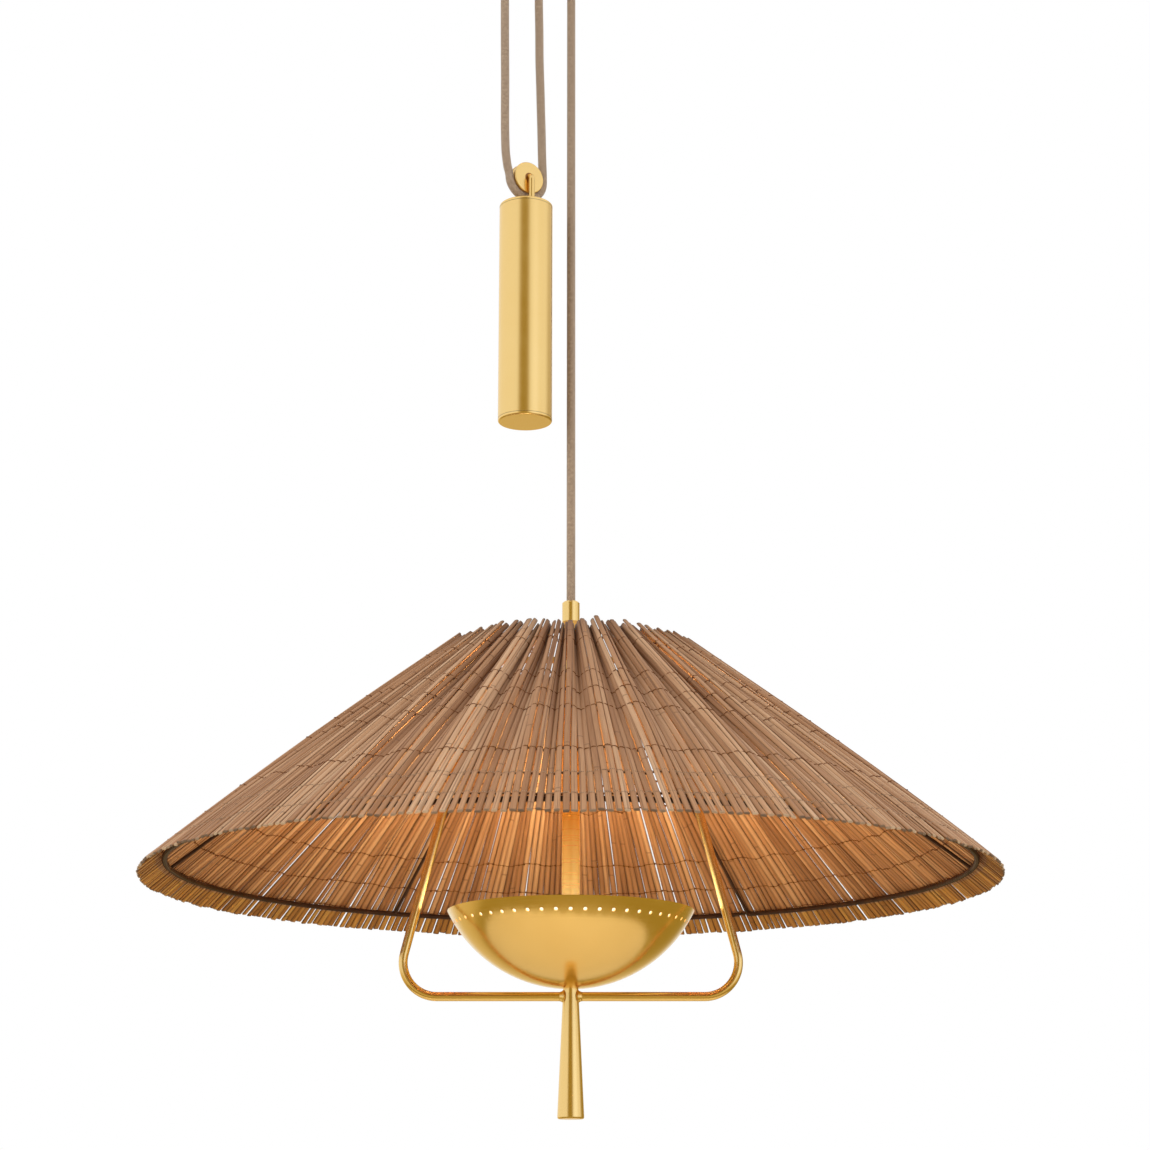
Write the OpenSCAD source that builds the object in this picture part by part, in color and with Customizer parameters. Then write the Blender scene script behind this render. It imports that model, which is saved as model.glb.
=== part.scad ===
// Rise and fall pendant lamp.
// A wide pleated shade of split bamboo hangs on a brass stem over a pierced
// brass bowl. One cord holds the lamp: it climbs to a pulley on the ceiling,
// comes down round the pulley of a counterweight and climbs again to an anchor
// on the ceiling, so the weight travels half as far as the lamp.
// Millimetres, +Z up. The origin is the centre of the ceiling fitting's back
// face, on the ceiling.

/* [Ceiling fitting] */
// Canopy diameter
canopy_d = 133; // [126:1:160]
// Canopy depth below the ceiling
canopy_h = 32; // [29:1:45]
// Canopy sheet thickness
canopy_wall = 1.5; // [1:0.1:2.5]
// Width of the canopy's turned-in rim
canopy_lip = 4.5; // [2:0.5:5]
// Radius of the canopy's lower edge
canopy_edge_r = 4; // [3:0.5:8]
// Mounting plate diameter
plate_d = 110; // [104:1:112]
// Mounting plate thickness
plate_t = 3; // [2:0.5:4]
// Distance between the two ceiling box holes
box_hole_pcd = 88.9; // [80:0.1:92]
// Ceiling box hole diameter
box_hole_d = 5.2; // [4.2:0.1:6.2]
// Load plate thickness
load_plate_t = 3; // [2:0.5:5]
// Load plate width
load_plate_w = 24; // [20:1:30]
// Canopy stud thread diameter
stud_d = 5; // [4:0.5:6]
// Distance between the two canopy studs
stud_pitch = 60; // [50:1:68]
// Terminal block length
terminal_l = 34; // [26:1:36]
// Ground screw diameter
ground_d = 4; // [3:0.5:5]

/* [Cord] */
// Cord diameter
cord_d = 8; // [6:0.5:8.2]
// Angle of the cord's vertical plane to the front view
drop_yaw = 32; // [0:1:60]
// Place of the cord anchor along the cord's plane
anchor_w = -38; // [-42:0.5:-36]
// Cord anchor length below the canopy
anchor_l = 14; // [10:1:20]
// Cord anchor thread diameter
anchor_thread_d = 12; // [11:0.5:13]
// Ceiling down to the top of the lamp's cord grip
lamp_drop = 687; // [600:1:900]
// Ceiling down to the axle of the counterweight's pulley
weight_drop = 281; // [250:1:330]

/* [Pulleys] */
// Diameter of the cord's centre line round a pulley
pitch_d = 36.5; // [36:0.5:40]
// Pulley flange diameter
pulley_d = 31; // [30:0.5:35]
// Pulley width
pulley_w = 12; // [11:0.5:14]
// Pulley axle diameter
axle_d = 6; // [5:0.5:7]
// Bush wall thickness
bush_wall = 1.5; // [1:0.1:2]
// Place of the ceiling pulley along the cord's plane
ceiling_pulley_w = 18.75; // [16:0.25:24]
// Canopy underside down to the ceiling pulley's axle
fork_drop = 26; // [26:0.5:40]
// Fork strip thickness
fork_t = 2; // [1.5:0.1:3]
// Fork strip width
fork_w = 16; // [12:1:20]
// Fork stud thread diameter
fork_stud_d = 8; // [6:1:10]

/* [Counterweight] */
// Counterweight diameter
weight_d = 50; // [44:1:56]
// Counterweight length
weight_l = 215; // [160:1:240]
// Counterweight tube wall
weight_wall = 1.5; // [1:0.1:3]
// Cap and base disc thickness
weight_end_t = 3; // [2:0.5:6]
// Place of the counterweight along the cord's plane
weight_w = -13; // [-16:0.5:-10]
// Pulley axle down to the counterweight's top
stirrup_h = 27; // [24:0.5:40]
// Distance between the two legs of the stirrup
stirrup_pitch = 20; // [20:0.5:24]
// Height of the stirrup nuts
stirrup_nut_h = 5; // [3:0.5:6]

/* [Stem] */
// Stem diameter
stem_d = 16; // [14:0.5:20]
// Stem wall thickness
stem_wall = 1.5; // [1:0.1:2]
// Cord grip length above the stem
grip_l = 19; // [14:1:30]
// Grip top down to the shade's top edge
grip_rise = 43; // [35:1:70]
// Collar height under the spider
collar_h = 10; // [6:1:16]
// Collar diameter
collar_d = 26; // [22:1:30]

/* [Shade] */
// Shade diameter at the rim
shade_d = 762; // [640:1:800]
// Shade diameter over the pleats at the top
shade_top_d = 220; // [200:1:260]
// Shade height
shade_h = 215; // [160:1:260]
// Number of pleats
pleats = 52; // [44:1:56]
// Depth of a pleat at the top edge, square to the slope
pleat_depth = 10.5; // [6:0.5:14]
// Thickness of the sticks
stick_t = 1.8; // [1.2:0.1:2.5]
// Slots round the mat in each of its two rows
slots = 24; // [6:1:24]
// Hoop wire diameter
hoop_d = 4.5; // [3:0.5:6]
// Rib wire diameter
rib_d = 3; // [2:0.5:3]
// Number of ribs
ribs = 6; // [4:1:12]
// Rim back along the slope to the lower hoop
hoop_inset = 26.7; // [20:0.1:60]
// Top edge down to the spider
spider_inset = 10; // [8:0.5:14]
// Spider bar width
spider_w = 14; // [10:1:18]
// Spider bar thickness
spider_t = 3; // [2:0.5:5]

/* [Bowl] */
// Bowl rim diameter
bowl_d = 218.2; // [180:0.1:240]
// Bowl depth
bowl_depth = 67.6; // [55:0.1:85]
// Bowl sheet thickness
bowl_wall = 1.2; // [0.8:0.1:2]
// Shade rim down to the bowl rim
bowl_gap = 24.7; // [5:0.1:60]
// Number of holes below the bowl rim
bowl_holes = 52; // [24:1:72]
// Hole diameter
bowl_hole_d = 3.3; // [2:0.1:5]
// Rim down to the row of holes
bowl_hole_drop = 11; // [8:0.5:20]
// Lamp plate diameter
lamp_plate_d = 100; // [92:1:100]
// Lamp plate thickness
lamp_plate_t = 1.5; // [1:0.1:3]
// Bowl floor up to the lamp plate
lamp_plate_rise = 13; // [12:0.5:20]
// Distance between opposite lampholders
holder_pitch = 72; // [60:1:76]
// Lampholder diameter
holder_d = 18; // [16:0.5:22]
// Lampholder height
holder_h = 18; // [14:0.5:24]
// Bulb glass diameter
bulb_d = 15; // [13:0.5:18]
// Bulb length above the lampholder
bulb_l = 36; // [28:1:44]

/* [Side frame and handle] */
// Side frame rod diameter
rod_d = 8; // [6:0.5:8]
// Greatest width between the rod's centre lines
frame_w = 294.8; // [250:0.1:320]
// Width between the rod's centre lines at the spider
frame_top_w = 158.5; // [120:0.5:165]
// Bend radius at the lower corners
frame_bend_r = 30; // [16:1:45]
// Bowl bottom down to the rod's centre line
bar_drop = 7; // [6:0.5:20]
// Thread diameter at the frame's upper ends
frame_thread_d = 5; // [4:0.5:6]
// Handle length
handle_l = 112; // [80:1:150]
// Handle diameter at the top
handle_top_d = 13.4; // [12:0.1:16]
// Handle diameter at the bottom
handle_d = 23.5; // [16:0.5:30]
// Handle stud thread diameter
handle_stud_d = 5; // [4:0.5:5]

/* [Hidden] */
$fn = 96;

// Clearances
hole_clear = 0.2;
run_clear = 0.05;
side_clear = 0.8;
cord_clear = 0.3;
cord_bore_clear = 0.2;
wire_clear = 0.1;
slug_clear = 0.2;
eps = 1;

// Colours
brass = "#c79f4a";
dark_brass = "#8f6d2b";
steel = "#a4a6a6";
dark_steel = "#55575a";
cord_colour = "#a08468";
bamboo = "#ae7b4e";
bronze = "#96693a";
ceramic = "#ece7da";
glow = "#fff0c4";

// Small turned details
edge = 1.5;
nut_ratio = 1.65;
head_ratio = 1.7;
pulley_edge = 1;
dome_h = 8;
dome_depth = 6;
terminal_w = 16;
terminal_h = 14;
terminal_x = -30;
cable_hole_d = 18;
cable_hole_x = 21;
ground_x = -20;
ground_y = 22;
anchor_flange_h = 5;
anchor_flange_d = anchor_thread_d + 4;
anchor_nut_h = 5;
anchor_nut_w = anchor_thread_d + 6;
fork_nut_h = 6.5;
fork_web_t = 3;
axle_head_h = 3;
axle_nut_h = 5;
cap_spigot_h = 4;
grip_spigot_h = 10;
grip_bore_l = 14;
foot_spigot_h = 15;
foot_flange_d = 28;
foot_flange_t = 3;
foot_neck_d = 13;
stud_depth = 28;
frame_nut_h = 4;
bowl_flat = 0.2;
spider_tip = 0.3;
socket_l = 12;
socket_w = 7;
socket_depth = 5;
lead_hole_d = 5;
core_hole_d = 5;

// Levels of the ceiling fitting
canopy_low = -canopy_h;
load_low = canopy_low + canopy_wall;
load_top = load_low + load_plate_t;
ceiling_axle_z = canopy_low - fork_drop;
fork_in_y = pulley_w / 2 + side_clear;
fork_out_y = fork_in_y + fork_t;
bush_od = axle_d + 2 * run_clear + 2 * bush_wall;

// Levels of the counterweight
weight_axle_z = -weight_drop;
weight_top = weight_axle_z - stirrup_h;
weight_low = weight_top - weight_l;
weight_bore_d = weight_d - 2 * weight_wall;
leg_y = stirrup_pitch / 2;
leg_bend_r = leg_y - pulley_w / 2 - side_clear / 2;
leg_low = weight_top - weight_end_t - cap_spigot_h - stirrup_nut_h - 1;
slug_top = leg_low - 1;

// Levels of the lamp
lamp_w = ceiling_pulley_w + pitch_d / 2;
lamp_x = lamp_w * cos(drop_yaw);
lamp_y = lamp_w * sin(drop_yaw);
grip_top = -lamp_drop;
cord_end_z = grip_top - grip_bore_l;
stem_top = grip_top - grip_l;
stem_bore_d = stem_d - 2 * stem_wall;
shade_top = grip_top - grip_rise;
shade_rim = shade_top - shade_h;
bowl_rim = shade_rim - bowl_gap;
bowl_bottom = bowl_rim - bowl_depth;
bowl_base = bowl_bottom + bowl_flat;
bowl_floor = bowl_base + bowl_wall;
bowl_r = (pow(bowl_d / 2, 2) + pow(bowl_depth, 2)) / (2 * bowl_depth);
bowl_centre = bowl_bottom + bowl_r;
plate_low = bowl_floor + lamp_plate_rise;
plate_top = plate_low + lamp_plate_t;
bar_z = bowl_base - bar_drop;
handle_low = bowl_base - handle_l;
spider_top = shade_top - spider_inset;
spider_low = spider_top - spider_t;

// Slope of the shade, measured from level
shade_run = (shade_d - shade_top_d) / 2;
shade_slope = atan2(shade_h, shade_run);
sticks_per_pleat = 7;
sticks = pleats * sticks_per_pleat;
stick_level_t = stick_t / sin(shade_slope);
// Shares of the slope, from the top, where the mat has an edge ring. Slots lie
// between the second and third and between the fourth and fifth.
mat_levels = [0, 0.3, 0.5, 0.72, 0.88, 1];
slot_rows = [1, 3];

// Wire frame: both hoops lie just inside the bottoms of the pleats
valley_top_r = shade_top_d / 2 - pleat_depth * sin(shade_slope);
valley_top_z = shade_top - pleat_depth * cos(shade_slope);
valley_run = shade_d / 2 - valley_top_r;
valley_h = valley_top_z - shade_rim;
function valley_r(z) = shade_d / 2 - valley_run * (z - shade_rim) / valley_h - stick_level_t;
low_hoop_z = shade_rim + hoop_inset * sin(shade_slope)
  - (stick_t + hoop_d / 2 + wire_clear) * cos(shade_slope);
valley_slope = atan2(valley_h, valley_run);
wire_level = (hoop_d / 2 + wire_clear) / sin(valley_slope);
low_hoop_r = valley_r(low_hoop_z) - wire_level;
top_hoop_z = spider_top + hoop_d / 2;
top_hoop_r = valley_r(top_hoop_z) - wire_level;

// Side frame: each arm runs from the lower bend to the spider
bend_x = frame_w / 2 - frame_bend_r;
bend_z = bar_z + frame_bend_r;
arm_dx = frame_top_w / 2 - bend_x;
arm_dz = spider_low - bend_z;
arm_span = norm([arm_dx, arm_dz]);
arm_lean = round(100 * (atan2(arm_dz, arm_dx) - acos(frame_bend_r / arm_span))) / 100;
arm_l = sqrt(pow(arm_span, 2) - pow(frame_bend_r, 2));

// Route of the cord in its vertical plane: distance along the plane, height.
// First stretch: anchor down to the counterweight's pulley
anchor_route = [
  [-38, -18], [-38, -38], [-38, -58], [-38, -79], [-38, -100],
  [-37.8, -121], [-37.6, -142], [-37.3, -163], [-37, -184], [-36.9, -205],
  [-36.8, -226], [-36.5, -241], [-35.9, -256], [-35, -264], [-33.7, -272],
  [-32.2, -277], [-31.25, -281]
];
// Second stretch: ceiling pulley down to the counterweight's pulley
middle_route = [
  [0.5, -58], [0.2, -74], [0, -90], [0.3, -105], [0.7, -121], [0.9, -137],
  [1.1, -153], [1.6, -168], [2.2, -184], [2.7, -200], [3.2, -215],
  [3.7, -230], [4.1, -246], [4.4, -255], [4.7, -263], [5.1, -272],
  [5.25, -281]
];
// Third stretch: straight from the ceiling pulley down into the lamp's cord grip
lamp_route_steps = 27;
lamp_route_step = (ceiling_axle_z - cord_end_z) / lamp_route_steps;
lamp_route = [for (i = [0:lamp_route_steps]) [lamp_w, ceiling_axle_z - i * lamp_route_step]];
cord_sides = 12;

module in_cord_plane() {
  rotate([0, 0, drop_yaw]) children();
}

module at_lamp() {
  translate([lamp_x, lamp_y, 0]) children();
}

// A bar or disc along the cord plane's cross direction, from y0 to y1
module across(d, y0, y1, sides = 96) {
  translate([0, y1, 0]) rotate([90, 0, 0]) cylinder(d = d, h = y1 - y0, $fn = sides);
}

module ring(od, id, h) {
  difference() {
    cylinder(d = od, h = h);
    translate([0, 0, -eps]) cylinder(d = id, h = h + 2 * eps);
  }
}

module hex_nut(thread_d, h) {
  difference() {
    cylinder(d = thread_d * nut_ratio / cos(30), h = h, $fn = 6);
    translate([0, 0, -eps]) cylinder(d = thread_d, h = h + 2 * eps);
  }
}

// Cord tube swept along a route, with level ends
function cord_tangent(p, i) =
  (i == 0 || i == len(p) - 1)
  ? [0, -1]
  : (p[i + 1] - p[i - 1]) / norm(p[i + 1] - p[i - 1]);

function cord_point(p, i, a) =
  let (t = cord_tangent(p, i), r = cord_d / 2)
  [p[i][0] + r * cos(a) * t[1], r * sin(a), p[i][1] - r * cos(a) * t[0]];

module cord_tube(p) {
  n = cord_sides;
  m = len(p);
  points = [for (i = [0:m - 1]) for (j = [0:n - 1]) cord_point(p, i, 360 * j / n)];
  left = [for (i = [0:m - 2]) for (j = [0:n - 1])
    [i * n + (j + 1) % n, i * n + j, (i + 1) * n + j]];
  right = [for (i = [0:m - 2]) for (j = [0:n - 1])
    [i * n + (j + 1) % n, (i + 1) * n + j, (i + 1) * n + (j + 1) % n]];
  first = [[for (j = [0:n - 1]) j]];
  last = [[for (j = [n - 1:-1:0]) (m - 1) * n + j]];
  polyhedron(points = points, faces = concat(first, left, right, last));
}

// Half turn of cord round a pulley: over it, or under it
module cord_half_turn(over) {
  rotate([90, 0, 0]) rotate([0, 0, over ? 0 : 180])
    rotate_extrude(angle = 180) translate([pitch_d / 2, 0]) circle(d = cord_d);
}

// ---- Ceiling fitting ----

module mounting_plate() {
  color(steel) in_cord_plane() difference() {
    translate([0, 0, -plate_t]) cylinder(d = plate_d, h = plate_t);
    for (s = [-1, 1]) translate([0, s * box_hole_pcd / 2, -plate_t - eps])
      cylinder(d = box_hole_d, h = plate_t + 2 * eps);
    for (s = [-1, 1]) translate([0, s * stud_pitch / 2, -plate_t - eps])
      cylinder(d = stud_d, h = plate_t + 2 * eps);
    translate([cable_hole_x, 0, -plate_t - eps])
      cylinder(d = cable_hole_d, h = plate_t + 2 * eps);
    translate([ground_x, ground_y, -plate_t - eps])
      cylinder(d = ground_d, h = plate_t + 2 * eps);
  }
}

module canopy_outline(inset) {
  r = canopy_d / 2 - inset;
  f = canopy_edge_r - inset;
  low = canopy_low + inset;
  translate([0, low]) square([r - f, canopy_h]);
  translate([0, low + f]) square([r, canopy_h]);
  translate([r - f, low + f]) circle(r = f);
}

module canopy() {
  color(brass) in_cord_plane() difference() {
    rotate_extrude() difference() {
      intersection() {
        canopy_outline(0);
        translate([0, canopy_low]) square([canopy_d, canopy_h]);
      }
      intersection() {
        canopy_outline(canopy_wall);
        translate([0, canopy_low]) square([canopy_d, canopy_h - canopy_wall]);
      }
      translate([0, -canopy_wall - eps])
        square([canopy_d / 2 - canopy_wall - canopy_lip, canopy_wall + 2 * eps]);
    }
    floor_holes(canopy_low, canopy_wall);
  }
}

// Holes that the canopy's floor and the load plate share
module floor_holes(low, t) {
  translate([ceiling_pulley_w, 0, low - eps])
    cylinder(d = fork_stud_d + hole_clear, h = t + 2 * eps);
  translate([anchor_w, 0, low - eps])
    cylinder(d = anchor_thread_d + hole_clear, h = t + 2 * eps);
  for (s = [-1, 1]) translate([0, s * stud_pitch / 2, low - eps])
    cylinder(d = stud_d + hole_clear, h = t + 2 * eps);
}

module load_plate() {
  color(steel) in_cord_plane() difference() {
    translate([0, 0, load_low]) union() {
      for (x = [anchor_w, ceiling_pulley_w]) translate([x, 0, 0])
        cylinder(d = load_plate_w, h = load_plate_t);
      translate([anchor_w, -load_plate_w / 2, 0])
        cube([ceiling_pulley_w - anchor_w, load_plate_w, load_plate_t]);
      for (s = [-1, 1]) translate([0, s * stud_pitch / 2, 0])
        cylinder(d = load_plate_w, h = load_plate_t);
      translate([-load_plate_w / 2, -stud_pitch / 2, 0])
        cube([load_plate_w, stud_pitch, load_plate_t]);
    }
    floor_holes(load_low, load_plate_t);
  }
}

module canopy_stud(side) {
  color(steel) in_cord_plane() translate([0, side * stud_pitch / 2, canopy_low - dome_depth])
    cylinder(d = stud_d, h = canopy_h + dome_depth);
}

module dome_nut(side) {
  r = stud_d * nut_ratio / 2;
  color(brass) in_cord_plane() translate([0, side * stud_pitch / 2, canopy_low])
    difference() {
      rotate_extrude() difference() {
        union() {
          translate([0, -dome_h + r]) square([r, dome_h - r]);
          translate([0, -dome_h + r]) circle(r = r);
        }
        translate([-2 * r, -2 * dome_h]) square([2 * r, 3 * dome_h]);
      }
      translate([0, 0, -dome_depth]) cylinder(d = stud_d, h = dome_depth + eps);
    }
}

module ground_screw() {
  color(steel) in_cord_plane() translate([ground_x, ground_y, -plate_t - 0.7 * ground_d]) {
    cylinder(d = ground_d, h = plate_t + 0.7 * ground_d);
    cylinder(d = 2 * ground_d, h = 0.7 * ground_d);
  }
}

module terminal_block() {
  color(ceramic) in_cord_plane()
    translate([terminal_x, -terminal_w / 2, -plate_t - terminal_h]) difference() {
      cube([terminal_l, terminal_w, terminal_h]);
      for (k = [0:2]) translate([terminal_l * (k + 0.5) / 3, -eps, terminal_h / 2])
        rotate([-90, 0, 0]) cylinder(d = 5, h = terminal_w + 2 * eps);
    }
}

module cord_anchor() {
  bore = cord_d + 2 * cord_bore_clear;
  color(brass) in_cord_plane() translate([anchor_w, 0, 0]) difference() {
    union() {
      translate([0, 0, canopy_low]) cylinder(d = anchor_thread_d, h = load_top - canopy_low + anchor_nut_h);
      translate([0, 0, canopy_low - anchor_flange_h]) cylinder(d = anchor_flange_d, h = anchor_flange_h);
      translate([0, 0, canopy_low - anchor_l])
        cylinder(d1 = bore + 3, d2 = anchor_flange_d - 1, h = anchor_l - anchor_flange_h);
    }
    translate([0, 0, canopy_low - anchor_l - eps]) cylinder(d = bore, h = canopy_h + anchor_l);
  }
}

module anchor_nut() {
  color(steel) in_cord_plane() translate([anchor_w, 0, load_top]) difference() {
    cylinder(d = anchor_nut_w / cos(30), h = anchor_nut_h, $fn = 6);
    translate([0, 0, -eps]) cylinder(d = anchor_thread_d, h = anchor_nut_h + 2 * eps);
  }
}

module pulley_fork() {
  color(brass) in_cord_plane() translate([ceiling_pulley_w, 0, 0]) difference() {
    union() {
      translate([0, 0, canopy_low - eps])
        cylinder(d = fork_stud_d, h = load_top - canopy_low + fork_nut_h + 2 * eps);
      translate([-fork_w / 2, -fork_out_y, canopy_low - fork_web_t])
        cube([fork_w, 2 * fork_out_y, fork_web_t]);
      for (y = [-fork_out_y, fork_in_y]) {
        translate([-fork_w / 2, y, ceiling_axle_z]) cube([fork_w, fork_t, fork_drop]);
        translate([0, 0, ceiling_axle_z]) across(fork_w, y, y + fork_t);
      }
    }
    translate([0, 0, ceiling_axle_z]) across(axle_d, -fork_out_y - eps, fork_out_y + eps);
  }
}

module fork_nut() {
  color(steel) in_cord_plane() translate([ceiling_pulley_w, 0, load_top])
    hex_nut(fork_stud_d, fork_nut_h);
}

module ceiling_axle() {
  color(brass) in_cord_plane() translate([ceiling_pulley_w, 0, ceiling_axle_z]) {
    across(axle_d, -fork_out_y, fork_out_y + axle_nut_h + 1);
    across(axle_d * head_ratio, -fork_out_y - axle_head_h, -fork_out_y);
  }
}

module axle_nut() {
  color(brass) in_cord_plane() translate([ceiling_pulley_w, 0, ceiling_axle_z]) difference() {
    across(axle_d * nut_ratio / cos(30), fork_out_y, fork_out_y + axle_nut_h, 6);
    across(axle_d, fork_out_y - eps, fork_out_y + axle_nut_h + eps);
  }
}

// ---- Pulleys ----

module pulley() {
  w = pulley_w / 2;
  r = pulley_d / 2;
  rotate([90, 0, 0]) rotate_extrude() difference() {
    union() {
      translate([bush_od / 2, -w]) square([r - pulley_edge - bush_od / 2, pulley_w]);
      translate([bush_od / 2, -w + pulley_edge])
        square([r - bush_od / 2, pulley_w - 2 * pulley_edge]);
      for (s = [-1, 1]) translate([r - pulley_edge, s * (w - pulley_edge)])
        circle(r = pulley_edge);
    }
    translate([pitch_d / 2, 0]) circle(r = cord_d / 2 + cord_clear);
  }
}

module bush() {
  difference() {
    across(bush_od, -pulley_w / 2 - side_clear / 4, pulley_w / 2 + side_clear / 4);
    across(axle_d + 2 * run_clear, -pulley_w, pulley_w);
  }
}

module ceiling_pulley() {
  color(brass) in_cord_plane() translate([ceiling_pulley_w, 0, ceiling_axle_z]) pulley();
}

module ceiling_bush() {
  color(bronze) in_cord_plane() translate([ceiling_pulley_w, 0, ceiling_axle_z]) bush();
}

module weight_pulley() {
  color(brass) in_cord_plane() translate([weight_w, 0, weight_axle_z]) pulley();
}

module weight_bush() {
  color(bronze) in_cord_plane() translate([weight_w, 0, weight_axle_z]) bush();
}

// ---- Cord ----

module cord_anchor_run() {
  color(cord_colour) in_cord_plane() cord_tube(anchor_route);
}

module cord_middle_run() {
  color(cord_colour) in_cord_plane() cord_tube(middle_route);
}

module cord_lamp_run() {
  color(cord_colour) in_cord_plane() cord_tube(lamp_route);
}

module cord_ceiling_wrap() {
  color(cord_colour) in_cord_plane()
    translate([ceiling_pulley_w, 0, ceiling_axle_z]) cord_half_turn(true);
}

module cord_weight_wrap() {
  color(cord_colour) in_cord_plane()
    translate([weight_w, 0, weight_axle_z]) cord_half_turn(false);
}

// ---- Counterweight ----

module at_weight() {
  in_cord_plane() translate([weight_w, 0, 0]) children();
}

// Bent rod through the pulley: one level run, two tight bends, two legs
module stirrup() {
  color(brass) at_weight() {
    translate([0, 0, weight_axle_z]) across(axle_d, -leg_y + leg_bend_r, leg_y - leg_bend_r);
    for (m = [0, 1]) mirror([0, m, 0]) {
      translate([0, leg_y - leg_bend_r, weight_axle_z - leg_bend_r])
        rotate([0, 0, 90]) rotate([90, 0, 0])
          rotate_extrude(angle = 90) translate([leg_bend_r, 0]) circle(d = axle_d);
      translate([0, leg_y, leg_low])
        cylinder(d = axle_d, h = weight_axle_z - leg_bend_r - leg_low);
    }
  }
}

module stirrup_nut(side) {
  color(steel) at_weight()
    translate([0, side * leg_y, leg_low + 1]) hex_nut(axle_d, stirrup_nut_h);
}

module weight_cap() {
  color(brass) at_weight() difference() {
    rotate_extrude() {
      translate([0, weight_top - weight_end_t - cap_spigot_h])
        square([weight_bore_d / 2, weight_end_t + cap_spigot_h - edge]);
      translate([0, weight_top - weight_end_t]) square([weight_d / 2, weight_end_t - edge]);
      translate([0, weight_top - weight_end_t]) square([weight_d / 2 - edge, weight_end_t]);
      translate([weight_d / 2 - edge, weight_top - edge]) circle(r = edge);
    }
    for (s = [-1, 1]) translate([0, s * leg_y, leg_low])
      cylinder(d = axle_d + hole_clear, h = weight_top - leg_low + eps);
  }
}

module weight_tube() {
  color(brass) at_weight() translate([0, 0, weight_low + weight_end_t])
    ring(weight_d, weight_bore_d, weight_l - 2 * weight_end_t);
}

module weight_slug() {
  color(dark_steel) at_weight() translate([0, 0, weight_low + weight_end_t + cap_spigot_h])
    cylinder(d = weight_bore_d - 2 * slug_clear, h = slug_top - weight_low - weight_end_t - cap_spigot_h);
}

module weight_base() {
  color(brass) at_weight() rotate_extrude() {
    translate([0, weight_low]) square([weight_d / 2 - edge, weight_end_t]);
    translate([0, weight_low + edge]) square([weight_d / 2, weight_end_t - edge]);
    translate([weight_d / 2 - edge, weight_low + edge]) circle(r = edge);
    translate([0, weight_low + edge])
      square([weight_bore_d / 2, weight_end_t + cap_spigot_h - edge]);
  }
}

// ---- Lamp: stem and spider ----

module cord_grip() {
  color(brass) at_lamp() difference() {
    union() {
      translate([0, 0, grip_top - edge])
        cylinder(d1 = stem_d, d2 = stem_d - 2 * edge, h = edge);
      translate([0, 0, stem_top]) cylinder(d = stem_d, h = grip_l - edge);
      translate([0, 0, stem_top - grip_spigot_h]) cylinder(d = stem_bore_d, h = grip_spigot_h);
    }
    translate([0, 0, cord_end_z])
      cylinder(d = cord_d + 2 * cord_bore_clear, h = grip_bore_l + eps);
    translate([0, 0, stem_top - grip_spigot_h - eps])
      cylinder(d = core_hole_d, h = grip_l + grip_spigot_h);
  }
}

module stem() {
  color(brass) at_lamp() difference() {
    translate([0, 0, plate_top]) ring(stem_d, stem_bore_d, stem_top - plate_top);
    for (a = [45, 135]) rotate([0, 0, a])
      translate([0, 0, plate_top + foot_spigot_h + lead_hole_d])
        across(lead_hole_d, -stem_d, stem_d);
  }
}

module stem_collar() {
  color(brass) at_lamp() translate([0, 0, spider_low - collar_h]) ring(collar_d, stem_d, collar_h);
}

module spider() {
  tip = top_hoop_r + spider_tip;
  color(brass) at_lamp() translate([0, 0, spider_low]) difference() {
    union() {
      cylinder(d = collar_d + 6, h = spider_t);
      for (a = [0, 90]) rotate([0, 0, a])
        translate([-tip, -spider_w / 2, 0]) cube([2 * tip, spider_w, spider_t]);
    }
    translate([0, 0, -eps]) cylinder(d = stem_d, h = spider_t + 2 * eps);
    for (s = [-1, 1]) translate([s * frame_top_w / 2, 0, -eps])
      cylinder(d = frame_thread_d + hole_clear, h = spider_t + 2 * eps);
  }
}

// ---- Lamp: shade ----

module shade_wire_frame() {
  dr = low_hoop_r - top_hoop_r;
  dz = low_hoop_z - top_hoop_z;
  color(dark_steel) at_lamp() {
    translate([0, 0, low_hoop_z])
      rotate_extrude() translate([low_hoop_r, 0]) circle(d = hoop_d);
    translate([0, 0, top_hoop_z])
      rotate_extrude() translate([top_hoop_r, 0]) circle(d = hoop_d);
    for (k = [0:ribs - 1]) rotate([0, 0, 360 * k / ribs])
      translate([top_hoop_r, 0, top_hoop_z]) rotate([0, atan2(dr, dz), 0])
        cylinder(d = rib_d, h = norm([dr, dz]));
  }
}

// Height of the mat above the bottom of its pleat, 0 to 1
function fold(i) = 1 - pow(abs(cos(180 * (i % sticks_per_pleat) / sticks_per_pleat)), 3);

function mat_point(i, t, inward) =
  let (
    a = 360 * i / sticks,
    sunk = pleat_depth * (1 - t) * (1 - fold(i)),
    r = shade_top_d / 2 + shade_run * t - sunk * sin(shade_slope) - inward
  )
  [r * cos(a), r * sin(a), shade_top - shade_h * t - sunk * cos(shade_slope)];

// True where a slot lies between stick i and the next
function slotted(i, k) =
  len(search(k, slot_rows)) > 0 && floor((i + 1) * slots / sticks) > floor(i * slots / sticks);

function four_sided(a, b, c, d) = [[a, b, c], [a, c, d]];

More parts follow.
